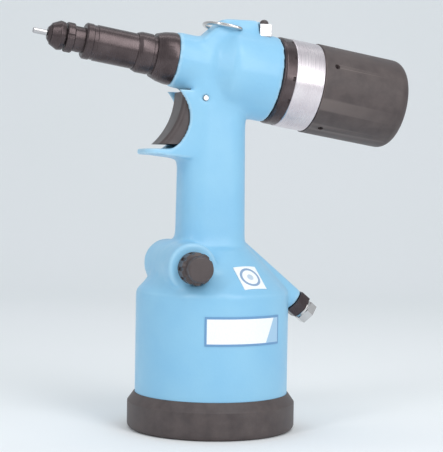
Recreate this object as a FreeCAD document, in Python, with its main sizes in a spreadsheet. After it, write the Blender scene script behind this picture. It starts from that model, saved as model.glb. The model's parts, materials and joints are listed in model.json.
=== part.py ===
import FreeCAD, Part
import math
import os
import re

import Sketcher
from FreeCAD import Placement, Rotation, Vector

# Hydro-pneumatic rivet gun for threaded rivets. Millimetres, +Z up, nose towards -X.
# Origin: centre of the underside of the base boot, on the axis of the air cylinder and handle.
#
# Five frames place the pieces. In each, a piece is drawn round its own Z axis:
#   base   the upright axis of the air cylinder and handle
#   head   the pulling axis; Z runs rearwards from where it crosses the base axis
#   valve  the knob's axis, across the handle's foot; Z runs towards the knob (-Y)
#   inlet  the air inlet's axis; Z runs out of the shoulder, rearwards and down
#   pivot  the trigger pin's axis, across the handle; Z runs towards -Y

doc = FreeCAD.newDocument("rivet_gun")
sheet = doc.addObject("Spreadsheet::Sheet", "Sizes")
row = 0


def sizes(group, **named):
    """Write one group of driving dimensions into the sheet, each with its alias."""
    global row
    row += 1
    sheet.set(f"A{row}", group)
    for name, number in named.items():
        row += 1
        sheet.set(f"A{row}", name.replace("_", " "))
        sheet.set(f"B{row}", str(number))
        sheet.setAlias(f"B{row}", name)


sizes("Clearances",
      fit_gap=0.05,            # radial gap of a running fit
      seat_gap=0.1,            # radial gap of a piece pushed into its seat
      free_gap=0.4,            # gap between pieces that only pass each other
      press_gap=0.01,          # radial gap of a pressed-in pin
      cut_past=1.0)            # how far a cutting outline runs past the face it opens
sizes("Base: boot, cover and air cylinder",
      cylinder_radius=54.7,
      cylinder_wall=5.2,
      foot_height=5.0,         # underside of the casting, on the boot's floor
      shoulder_height=98.5,    # where the straight cylinder ends
      shoulder_edge=4.0,
      shoulder_rise=31.0,      # height of the sloping shoulder
      shoulder_neck=25.5,      # radius where the shoulder meets the handle
      boot_wall=5.3,
      boot_side=19.5,
      boot_bevel=6.5,
      boot_edge=4.0,
      boot_lip=0.6,
      cover_seat=3.5,          # above the casting's underside
      cover_thickness=9.0,
      cover_rim=3.0,           # raised rim of the cover, and its height
      clip_thickness=1.6,
      clip_width=5.0,
      clip_groove=1.6)
sizes("Air piston, rod and intensifier",
      chamber_roof=8.5,        # below the shoulder's height
      piston_gap=3.0,          # above the base cover, at rest
      piston_thickness=10.0,
      piston_stroke=36.0,
      lip_seal_height=5.0,
      lip_seal_depth=4.0,
      lip_width=1.2,
      lip_floor=2.0,
      rod_radius=8.0,
      rod_spigot=5.0,
      rod_tail=1.0,            # spigot left standing below the piston
      rod_chamfer=1.0,
      rod_nut_height=5.0,
      rod_nut_radius=9.0,
      rod_lead=10.0,           # rod inside the tube at rest
      gland_radius=16.0,
      gland_length=14.0,
      tube_radius=13.0,
      tube_wall=3.4,
      tube_top_drop=52.0,      # tube top below the head axis
      oil_way_radius=3.5,
      oil_way_drop=4.0)        # its top, below the head axis
sizes("Handle and trigger",
      handle_depth=45.6,
      handle_width=38.0,
      handle_corner=15.0,
      handle_forward=2.6,      # handle centre in front of the base axis
      handle_flare=1.5,        # wider by this all round at the foot
      guard_front=36.5,        # front of the trigger cheeks
      guard_width=35.0,
      guard_top=17.0,          # below the head axis
      spur_reach=46.4,
      spur_top=58.4,           # below the head axis
      spur_thickness=4.0,
      spur_root=18.0,          # from the spur's end to where its underside levels out
      spur_root_drop=2.0,
      slot_width=29.0,
      slot_back=16.2,          # in front of the base axis
      slot_step_drop=10.0,     # below the trigger pin
      slot_ear_drop=7.0,
      slot_roof_rise=2.0,
      cheek_arc=26.0,
      cheek_arc_forward=49.6,
      cheek_arc_drop=36.0,
      trigger_foot=45.5,       # front of the trigger's toe
      trigger_front=29.6,      # front of the trigger's top
      trigger_back=20.0,
      trigger_heel=8.0,
      trigger_heel_rise=6.0,
      trigger_step=1.5,
      trigger_step_drop=9.0,   # below the trigger pin
      trigger_toe_lift=3.4,    # above the spur
      trigger_top_drop=17.9,   # below the head axis
      finger_arc=49.1,
      finger_arc_forward=76.6,
      finger_arc_drop=18.0,
      trigger_edge=4.5,
      pin_forward=12.8,
      pin_drop=22.4,           # below the head axis
      pin_radius=2.0,
      pin_stand=0.2,           # proud of the handle's side
      ear_radius=4.4,
      ear_width=9.0,
      plunger_drop=21.0,       # below the trigger pin
      plunger_radius=2.5,
      plunger_length=7.5,
      plunger_reach=1.6)       # room behind the plunger in its bore
sizes("Throttle valve, its knob and its plug",
      valve_forward=26.0,
      valve_height=117.0,
      boss_radius=17.5,
      boss_near=38.0,          # from the mid plane to the knob side
      boss_far=30.0,
      valve_bore=8.0,
      sleeve_wall=1.8,
      sleeve_start=-14.0,
      sleeve_end=24.0,
      spindle_radius=4.0,
      spindle_shoulder=4.0,    # below the boss's face
      spool_length=16.0,
      spool_travel=10.0,
      spool_land=4.0,
      spool_waist_depth=2.5,
      spool_bevel=1.0,
      knob_radius=11.3,
      knob_skirt=10.0,
      knob_cap_radius=9.0,
      knob_cap=9.0,
      knob_end_wall=3.0,
      knob_step=1.0,
      knob_edge=1.5,
      knob_plain=2.0,          # plain band below the flutes
      knob_flute=1.6,
      knob_flute_out=0.6,      # the flute's centre, outside the skirt
      knob_flute_count=10,
      plug_radius=10.0,
      plug_length=9.0,
      plug_head=12.5,
      plug_head_height=3.0,
      plug_key=6.0,
      plug_key_depth=5.0,
      spool_spring_wire=0.8,
      spool_spring_gap=2.0,
      spool_spring_turns=6)
sizes("Air inlet",
      inlet_tilt=40.0,         # degrees below the horizontal
      inlet_back=62.0,         # where the boss ends, behind the base axis
      inlet_height=90.6,
      inlet_boss=8.6,
      inlet_boss_length=58.0,
      inlet_way_length=44.0,
      adaptor_thread=5.6,
      adaptor_spigot=9.0,
      adaptor_hex=17.0,        # across flats
      adaptor_length=8.0,
      air_way=3.2,
      swivel_radius=8.0,
      swivel_length=2.2,
      swivel_round=0.6,
      spigot_lap=1.0,          # how far the adaptor's spigot stands past the swivel
      nipple_hex=15.0,         # across flats
      nipple_length=5.6,
      nipple_thread=5.72,      # wall of the quarter-inch thread
      nipple_thread_depth=5.0)
sizes("Head casting and its bores",
      head_height=257.4,
      head_tilt=9.1,           # degrees, nose up
      head_front=33.0,
      snout_radius=19.6,
      snout_end=-8.0,
      drum_start=6.0,
      drum_radius=31.0,
      drum_end=41.0,
      nose_seat_depth=11.0,
      nose_seat=15.9,
      stem_bore=12.0,
      oil_bore=23.0,
      oil_bore_start=2.0,
      drum_bore=27.4,
      drum_bore_start=31.0)
sizes("Hump, hanging bail and reverse button",
      hump_front=-14.0,
      hump_back=38.8,
      hump_top=34.6,           # above the head axis's height
      hump_floor=14.0,
      hump_half_width=15.6,
      hump_draft=10.0,         # degrees
      hump_slope_foot=-12.5,
      hump_slope_top=3.0,
      hump_slope_drop=14.0,
      hump_edge=3.5,
      bail_back=14.0,
      bail_lift=27.2,          # above the head axis's height
      bail_wire=1.3,
      bail_half_width=16.6,
      bail_reach=23.0,
      bail_bend=4.0,
      bail_pin=5.0,
      bail_tilt=11.0,
      bail_web=8.0,            # width of the solid web between the two eyes
      block_length=9.0,
      block_depth=9.0,
      block_height=9.0,
      block_back=37.3,
      block_near=13.2,
      block_top_drop=2.6,
      button_radius=3.2,
      button_stem=1.2,
      button_dome=3.4,
      button_rim=0.8,
      button_sink=2.6,
      button_travel=2.0,
      button_spring_room=1.0,
      button_spring_radius=2.1,
      button_spring_wire=0.2,
      button_spring_turns=3,
      bleed_radius=1.6,
      bleed_length=4.0,
      bleed_sink=0.6,
      bleed_back=14.0,
      bleed_angle=40.0)        # degrees from the top towards -Y
sizes("Pulling head",
      stem_front=20.0,
      piston_face=9.0,         # behind the base axis, at rest
      piston_head=12.0,
      pull_stroke=6.0,
      seal_height=3.0,
      seal_depth=2.4,
      spring_radius=16.0,
      spring_wire=1.6,
      spring_turns=3,
      seat_disc=6.9,
      shaft_radius=5.0,
      shaft_socket_radius=6.5,
      shaft_taper=2.0,
      shaft_front=-95.6,
      shaft_collar=7.6,
      shaft_collar_length=3.0,
      shaft_hex=8.0)           # across flats
sizes("Nose",
      screw_tip=-133.7,
      screw_thread=2.0,
      screw_relief=0.6,        # thinner than the thread by this, behind the nose face
      screw_head_hex=7.0,
      screw_head_length=5.0,
      tip_front=-123.5,
      tip_radius=4.1,
      tip_flare=6.6,
      tip_shank=6.0,
      tip_bore=2.2,
      collar_front=-121.2,
      collar_widest=-115.5,
      collar_back=-112.2,
      collar_radius=10.3,
      collar_draft=0.6,
      collar_round=1.8,
      collar_front_radius=7.4,
      lock_nut_front=-111.0,
      lock_nut_back=-105.4,
      lock_nut_radius=10.4,
      lock_nut_slot=2.4,
      lock_nut_slot_depth=1.3,
      lock_nut_bevel=0.6,
      barrel_neck=8.9,
      barrel_shoulder=-98.0,
      barrel_radius=12.6,
      barrel_bore=7.3,
      barrel_back=-36.0,
      barrel_bevel=1.0,
      barrel_land=5.0,
      barrel_ring=0.5,         # depth of the groove behind the land
      barrel_groove=3.0,
      barrel_hole=1.4,
      flange_front=-61.0,
      flange_lip=0.6,
      flange_taper=3.0,
      flange_collar=14.4,
      flange_groove_front=-50.0,
      flange_groove_back=-47.5,
      flange_groove_depth=0.8,
      flange_swell=15.5,       # radius where the bulge starts
      flange_bulge=17.5,
      flange_bulge_back=-42.0,
      flange_radius=18.6,
      flange_rim=3.0,
      flange_mouth=3.0)
sizes("Motor casing",
      casing_wall=3.4,
      clamp_radius=31.6,
      clamp_length=9.0,
      clamp_round=2.4,
      clamp_notches=12,
      clamp_notch=1.6,
      clamp_notch_out=0.5,
      clamp_notch_depth=2.0,
      band_radius=32.0,
      band_length=22.0,
      band_bevel=0.5,
      cover_radius=32.7,
      cover_length=68.0,
      cover_edge=8.0,
      cover_bevel=0.4,
      cover_end_wall=4.0,
      vent_count=8,
      vent_radius=2.2,
      vent_circle=17.0,
      set_screw_radius=2.0,
      set_screw_length=4.6,
      set_screw_sink=1.2,
      set_screw_count=4,
      set_screw_back=8.5,
      set_screw_angle=28.0)
sizes("Gearbox and air motor",
      gear_module=1.0,
      sun_teeth=12,
      planet_teeth=18,
      planet_count=3,
      pressure_angle=25.0,
      tooth_height=0.8,        # addendum in modules
      tooth_root=1.15,         # dedendum in modules
      backlash=0.16,
      gear_width=8.0,
      sun_stub=4.2,            # radius of the pinion's plain end
      planet_pin_radius=2.0,
      carrier_boss=9.0,
      carrier_disc=5.0,
      carrier_disc_radius=19.5,
      plate_thickness=7.0,
      bearing_radius=11.0,
      bearing_width=6.0,
      rotor_shaft=5.0,
      rotor_radius=19.0,
      rotor_length=31.0,
      rotor_end_gap=0.4,
      rotor_tail=1.0,
      stator_offset=2.4,
      stator_gap=0.2,
      vane_count=5,
      vane_slot=1.6,
      vane_depth=9.0,
      silencer_length=20.0,
      silencer_bore=8.0)
sizes("Name plates",
      plate_sheet=0.5,
      plate_bottom=64.5,
      plate_height=20.0,
      plate_left=-22.6,        # degrees from -Y towards +X
      plate_right=39.6,
      badge_width=19.0,
      badge_height=20.0,
      badge_thickness=0.6,
      badge_turn=19.0,         # degrees from -Y towards +X
      badge_slope_place=0.62)  # how far down the shoulder's slope
doc.recompute()

WORD = re.compile(r"(?<![\w.])([a-z_]{3,})(?![\w(])")


def bound(text):
    """A sheet expression: every size's name becomes a reference to its cell."""
    return WORD.sub(r"Sizes.\1", str(text))


def number(text):
    """The value that an expression has now."""
    found = sheet.evalExpression(bound(text))
    return float(getattr(found, "Value", found))


def tie(thing, prop, text):
    thing.setExpression(prop, bound(text))


# Sizes that follow from the driving ones.
BORE = "(cylinder_radius - cylinder_wall)"
BOOT = "(cylinder_radius + boot_wall)"
ROOF = "(shoulder_height - chamber_roof)"
COVER_LOW = "(foot_height + cover_seat)"
COVER_HIGH = f"({COVER_LOW} + cover_thickness)"
PISTON_LOW = f"({COVER_HIGH} + piston_gap)"
PISTON_HIGH = f"({PISTON_LOW} + piston_thickness)"
TUBE_LOW = f"({ROOF} + gland_length)"
TUBE_HIGH = "(head_height - tube_top_drop)"
ROD_TOP = f"({TUBE_LOW} + rod_lead)"
TUBE_BORE = "(tube_radius - tube_wall)"
PIN_HEIGHT = "(head_height - pin_drop)"
PLUNGER_HEIGHT = f"({PIN_HEIGHT} - plunger_drop)"
SPUR_TOP = "(head_height - spur_top)"
NOSE_SEAT_BACK = "(nose_seat_depth - head_front)"
CLAMP_END = "(drum_end + clamp_length)"
BAND_END = f"({CLAMP_END} + band_length)"
COVER_END = f"({BAND_END} + cover_length)"
CASING_BORE = "(clamp_radius - casing_wall)"
SEAT_LOW = "(drum_bore_start + seat_gap)"
SEAT_HIGH = f"({SEAT_LOW} + seat_disc)"
DISC_LOW = "(drum_end + 4 * free_gap)"
DISC_HIGH = f"({DISC_LOW} + carrier_disc)"
GEAR_LOW = f"({DISC_HIGH} + free_gap)"
GEAR_HIGH = f"({GEAR_LOW} + gear_width)"
RING_LOW = f"({DISC_LOW} - free_gap)"
RING_HIGH = f"({GEAR_HIGH} + free_gap)"
FRONT_LOW = f"({RING_HIGH} + fit_gap)"
FRONT_HIGH = f"({FRONT_LOW} + plate_thickness)"
ROTOR_LOW = f"({FRONT_HIGH} + rotor_end_gap)"
ROTOR_HIGH = f"({ROTOR_LOW} + rotor_length)"
REAR_LOW = f"({ROTOR_HIGH} + rotor_end_gap)"
REAR_HIGH = f"({REAR_LOW} + plate_thickness)"
SHAFT_NECK = "(barrel_back - pull_stroke - 2 * free_gap)"
SHAFT_BACK = f"({GEAR_LOW} - pull_stroke - 2 * free_gap)"
ORBIT = "(gear_module * (sun_teeth + planet_teeth) / 2)"
VALVE_X = "(-valve_forward)"
HUMP_TOP = "(head_height + hump_top)"
BLOCK_TOP = f"({HUMP_TOP} - block_top_drop)"
BLOCK_LOW = f"({BLOCK_TOP} - block_height)"
BLOCK_NEAR = "(-block_near)"
BLOCK_FAR = "(block_depth - block_near)"
BLOCK_FRONT = "(block_back - block_length)"
CAP_LOW = f"({BLOCK_TOP} - button_sink)"
CAP_FLOOR = f"({CAP_LOW} - button_travel - button_spring_room)"
SPOOL_LOW = "(sleeve_end - free_gap - spool_length - spool_travel)"
PLUG_TOP = "(plug_length - boss_far)"
ROD_SKIN = "(rod_radius + fit_gap)"


def turn_for(frame):
    """Axis and angle, as an expression, that lay a frame's Z along its real direction."""
    if frame == "head":
        return Vector(0, 1, 0), "90 + head_tilt"
    if frame == "inlet":
        return Vector(0, 1, 0), "90 + inlet_tilt"
    if frame in ("valve", "pivot"):
        return Vector(1, 0, 0), "90"
    return Vector(0, 0, 1), "0"


PLACES = {
    "base": ("0", "0", "0"),
    "head": ("0", "0", "head_height"),
    "valve": (VALVE_X, "0", "valve_height"),
    "inlet": ("inlet_back", "0", "inlet_height"),
    "pivot": ("-pin_forward", "0", PIN_HEIGHT),
}


def place(piece, frame):
    """Lay a piece, drawn round its own Z axis, in one of the five frames."""
    axis, angle = turn_for(frame)
    piece.Placement = Placement(Vector(0, 0, 0), Rotation(axis, 90))
    tie(piece, "Placement.Rotation.Angle", angle)
    for direction, text in zip("xyz", PLACES[frame]):
        tie(piece, f"Placement.Base.{direction}", text)


def new_body(label):
    body = doc.addObject("PartDesign::Body", label)
    body.Label = label
    return body


def new_sketch(body, plane, name="outline"):
    sketch = body.newObject("Sketcher::SketchObject", name)
    origin_plane = next(f for f in body.Origin.OriginFeatures if f.Role == plane)
    sketch.AttachmentSupport = [(origin_plane, "")]
    sketch.MapMode = "FlatFace"
    return sketch


def hold(sketch, kind, corner, text, point=1):
    """Hold one coordinate of a point by a dimension bound to the sheet."""
    place_now = number(text)
    if abs(place_now) < 1e-9:
        axis = -2 if kind == "DistanceX" else -1
        sketch.addConstraint(Sketcher.Constraint("PointOnObject", corner, point, axis))
        return
    index = sketch.addConstraint(
        Sketcher.Constraint(kind, -1, 1, corner, point, place_now))
    tie(sketch, f"Constraints[{index}]", text)


def polygon(body, plane, points, lift=None, name="outline"):
    """A closed outline of straight sides, each corner held by its two coordinates."""
    sketch = new_sketch(body, plane, name)
    if lift is not None:
        sketch.AttachmentOffset = Placement(Vector(0, 0, 0), Rotation())
        tie(sketch, "AttachmentOffset.Base.z", lift)
    corners = [Vector(number(x), number(y), 0) for x, y in points]
    count = len(corners)
    for i in range(count):
        sketch.addGeometry(Part.LineSegment(corners[i], corners[(i + 1) % count]))
    for i in range(count):
        sketch.addConstraint(Sketcher.Constraint("Coincident", i, 2, (i + 1) % count, 1))
    for i, (x, y) in enumerate(points):
        hold(sketch, "DistanceX", i, x)
        hold(sketch, "DistanceY", i, y)
    return sketch


def circles(body, plane, rounds, lift=None, name="rounds"):
    """A sketch of circles, each given as centre x, centre y and radius."""
    sketch = new_sketch(body, plane, name)
    if lift is not None:
        tie(sketch, "AttachmentOffset.Base.z", lift)
    for i, (x, y, radius) in enumerate(rounds):
        centre = Vector(number(x), number(y), 0)
        sketch.addGeometry(Part.Circle(centre, Vector(0, 0, 1), number(radius)))
        hold(sketch, "DistanceX", i, x, point=3)
        hold(sketch, "DistanceY", i, y, point=3)
        index = sketch.addConstraint(Sketcher.Constraint("Radius", i, number(radius)))
        tie(sketch, f"Constraints[{index}]", radius)
    return sketch


def rounded_rectangle(body, front, back, side, corner, lift):
    """A rectangle across X from front to back, square about Y, with arcs for corners."""
    sketch = new_sketch(body, "XY_Plane", "section")
    tie(sketch, "AttachmentOffset.Base.z", lift)
    radius = number(corner)
    centres = [(f"{back} - {corner}", f"{side} - {corner}"),
               (f"{front} + {corner}", f"{side} - {corner}"),
               (f"{front} + {corner}", f"{corner} - {side}"),
               (f"{back} - {corner}", f"{corner} - {side}")]
    arcs = []
    for quarter, (x, y) in enumerate(centres):
        circle = Part.Circle(Vector(number(x), number(y), 0), Vector(0, 0, 1), radius)
        start = quarter * math.pi / 2
        arcs.append(Part.ArcOfCircle(circle, start, start + math.pi / 2))
    for arc in arcs:
        sketch.addGeometry(arc)
    for i in range(4):
        following = arcs[(i + 1) % 4]
        sketch.addGeometry(Part.LineSegment(arcs[i].EndPoint, following.StartPoint))
    for i in range(4):
        sketch.addConstraint(Sketcher.Constraint("Tangent", i, 2, i + 4, 1))
        sketch.addConstraint(Sketcher.Constraint("Tangent", i + 4, 2, (i + 1) % 4, 1))
    for i, (x, y) in enumerate(centres):
        hold(sketch, "DistanceX", i, x, point=3)
        hold(sketch, "DistanceY", i, y, point=3)
    index = sketch.addConstraint(Sketcher.Constraint("Radius", 0, radius))
    tie(sketch, f"Constraints[{index}]", corner)
    return sketch


def hexagon(body, flats, lift):
    """A regular hexagon on the body's XY plane, given across its flats."""
    points = []
    for i in range(6):
        angle = 30 + 60 * i
        points.append((f"({flats}) / 2 / cos(30) * cos({angle})",
                       f"({flats}) / 2 / cos(30) * sin({angle})"))
    return polygon(body, "XY_Plane", points, lift, "hexagon")


def revolve(body, points, kind="PartDesign::Revolution"):
    section = polygon(body, "XZ_Plane", points)
    feature = body.newObject(kind, "turned")
    feature.Profile = section
    feature.ReferenceAxis = (section, ["V_Axis"])
    feature.Angle = 360
    return feature


def turned(label, frame, points):
    """A lathe-turned piece: its half section given as radius and height corners."""
    body = new_body(label)
    revolve(body, points)
    place(body, frame)
    return body


def tube(label, frame, outer, inner, low, high):
    return turned(label, frame, [(inner, low), (outer, low), (outer, high), (inner, high)])


def rod(label, frame, radius, low, high):
    return tube(label, frame, radius, "0", low, high)


def extrude(body, sketch, length, kind="PartDesign::Pad", backwards=False, both=False):
    feature = body.newObject(kind, "extruded")
    feature.Profile = sketch
    feature.Type = "Length"
    tie(feature, "Length", length)
    feature.Reversed = backwards
    if both:
        feature.SideType = "Symmetric"
    return feature


def cut_away(body, sketch, length, backwards=False, both=False):
    """A pocket that is checked to have removed something."""
    doc.recompute()
    before = body.Shape.Volume
    feature = extrude(body, sketch, length, "PartDesign::Pocket", backwards, both)
    doc.recompute()
    if not body.Shape.Volume < before - 0.01:
        raise RuntimeError(f"{body.Label}: a pocket cuts nothing")
    return feature


def repeat(body, feature, count, axis="Z_Axis"):
    """Repeat a feature evenly round one of the body's axes."""
    pattern = body.newObject("PartDesign::PolarPattern", "round_pattern")
    pattern.Originals = [feature]
    line = next(f for f in body.Origin.OriginFeatures if f.Role == axis)
    pattern.Axis = (line, [""])
    pattern.Angle = 360
    tie(pattern, "Occurrences", count)
    body.Tip = pattern
    return pattern


def soften(body, radius, chosen, kind="PartDesign::Fillet"):
    """Round the edges of the body's last feature that the rule picks out."""
    doc.recompute()
    last = body.Tip
    names = [f"Edge{i + 1}" for i, edge in enumerate(last.Shape.Edges) if chosen(edge)]
    if not names:
        raise RuntimeError(f"{body.Label}: no edge to soften")
    feature = body.newObject(kind, "softened")
    feature.Base = (last, names)
    tie(feature, "Radius" if kind.endswith("Fillet") else "Size", radius)
    return feature


def rim(radius, height):
    """Picks the round edge of this radius at this height."""
    wanted, level = number(radius), number(height)

    def chosen(edge):
        curve = edge.Curve
        return (isinstance(curve, Part.Circle) and abs(curve.Radius - wanted) < 1e-4
                and abs(curve.Center.z - level) < 1e-4)
    return chosen


def coil(label, frame, mean_radius, wire, low, height, turns):
    """A compression spring: round wire on a helix, drawn at its fitted height."""
    body = new_body(label)
    sketch = circles(body, "XZ_Plane", [(mean_radius, f"{low} + {wire}", wire)])
    helix = body.newObject("PartDesign::AdditiveHelix", "coil")
    helix.Profile = sketch
    helix.ReferenceAxis = (sketch, ["V_Axis"])
    helix.Mode = "height-turns-angle"
    helix.Angle = 0
    tie(helix, "Height", f"{height} - 2 * {wire}")
    tie(helix, "Turns", turns)
    place(body, frame)
    return body


def whole(kind, label, pieces):
    """Join several solids, or take the rest away from the first one."""
    joined = doc.addObject(kind, label)
    if kind == "Part::Cut":
        joined.Base, joined.Tool = pieces
    else:
        joined.Shapes = pieces
    joined.Label = label
    return joined


def head_direction(angle):
    """Unit vector square to the head axis, turned from straight up towards -Y."""
    tilt, turn = math.radians(number("head_tilt")), math.radians(angle)
    return Vector(math.sin(tilt) * math.cos(turn), -math.sin(turn),
                  math.cos(tilt) * math.cos(turn))


def head_point(back):
    """A point on the head axis, this far behind the base axis."""
    tilt = math.radians(number("head_tilt"))
    return Vector(back * math.cos(tilt), 0,
                  number("head_height") - back * math.sin(tilt))


def radial_pegs(label, radius, length, surface, back, angle, count, socket=None):
    """Round pegs set into the head's skin from outside, evenly spaced, in one shape."""
    pegs = []
    for i in range(count):
        outward = head_direction(number(angle) + 360 * i / count)
        outer = head_point(number(back)) + outward * number(surface)
        peg = Part.makeCylinder(number(radius), number(length), outer, outward * -1)
        if socket:
            depth = number(length) / 2
            peg = peg.cut(Part.makeCylinder(number(socket), depth, outer, outward * -1))
        pegs.append(peg)
    piece = doc.addObject("Part::Feature", label)
    piece.Label = label
    piece.Shape = Part.makeCompound(pegs) if count > 1 else pegs[0]
    return piece


TOUCH = 0.01    # heights closer than this count as the same
sub_parts = []


def keep(piece):
    sub_parts.append(piece)
    return piece


# ---------------------------------------------------------------- body casting, outside
def casting_outside():
    """The one-piece light alloy casting: air cylinder, shoulder, handle and head."""
    base = turned("casting_base", "base", [
        ("0", "foot_height"), ("cylinder_radius", "foot_height"),
        ("cylinder_radius", "shoulder_height"),
        ("shoulder_neck", "shoulder_height + shoulder_rise"),
        ("0", "shoulder_height + shoulder_rise")])
    soften(base, "shoulder_edge", rim("cylinder_radius", "shoulder_height"))

    handle = new_body("casting_handle")
    levels = []
    for height, spread in ((ROOF, "handle_flare"), ("head_height", "0")):
        half, side = f"(handle_depth / 2 + {spread})", f"(handle_width / 2 + {spread})"
        levels.append(rounded_rectangle(
            handle, f"-handle_forward - {half}", f"{half} - handle_forward", side,
            "handle_corner", height))
    column = handle.newObject("PartDesign::AdditiveLoft", "column")
    column.Profile = levels[0]
    column.Sections = levels[1:]

    head = turned("casting_head", "head", [
        ("0", "-head_front"), ("snout_radius", "-head_front"), ("snout_radius", "snout_end"),
        ("drum_radius", "drum_start"), ("drum_radius", "drum_end"), ("0", "drum_end")])
    soften(head, "2 * shoulder_edge", rim("drum_radius", "drum_start"))

    hump = new_body("casting_hump")
    wide = "hump_half_width"
    plan = polygon(hump, "XY_Plane", [
        ("hump_front", f"-{wide}"), ("hump_back", f"-{wide}"),
        ("hump_back", wide), ("hump_front", wide)], "head_height + hump_floor")
    block = extrude(hump, plan, "hump_top - hump_floor")
    tie(block, "TaperAngle", "-hump_draft")
    top = "head_height + hump_top"
    slope = polygon(hump, "XZ_Plane", [
        ("hump_front - cut_past", f"{top} - hump_slope_drop"),
        ("hump_slope_foot", f"{top} - hump_slope_drop"),
        ("hump_slope_top", top), ("hump_slope_top", f"{top} + cut_past"),
        ("hump_front - cut_past", f"{top} + cut_past")])
    cut_away(hump, slope, f"4 * {wide}", both=True)
    crest = number(top) - TOUCH
    rear = number("hump_back - 2 * hump_edge")
    soften(hump, "hump_edge", lambda edge: edge.BoundBox.ZMin > crest
           or (edge.BoundBox.ZMax > crest and edge.BoundBox.XMax < rear))

    boss = rod("casting_valve_boss", "valve", "boss_radius", "-boss_far", "boss_near")
    soften(boss, "shoulder_edge / 2", rim("boss_radius", "boss_near"))

    inlet = rod("casting_inlet_boss", "inlet", "inlet_boss", "-inlet_boss_length", "0")

    cheeks = new_body("casting_trigger_cheeks")
    low = f"{SPUR_TOP} - spur_thickness"
    high = "head_height - guard_top"
    side_view = polygon(cheeks, "XZ_Plane", [
        ("-handle_forward", f"{low} - spur_root_drop"),
        ("-spur_reach + spur_root", f"{low} - spur_root_drop"),
        ("-spur_reach", low), ("-spur_reach", SPUR_TOP), ("-guard_front", SPUR_TOP),
        ("-guard_front", high), ("-handle_forward", high)])
    extrude(cheeks, side_view, "guard_width", both=True)
    sweep = circles(cheeks, "XZ_Plane", [
        ("-cheek_arc_forward", "head_height - cheek_arc_drop", "cheek_arc")])
    cut_away(cheeks, sweep, "2 * guard_width", both=True)
    return whole("Part::MultiFuse", "casting_outer",
                 [base, handle, head, hump, boss, inlet, cheeks])


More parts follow.
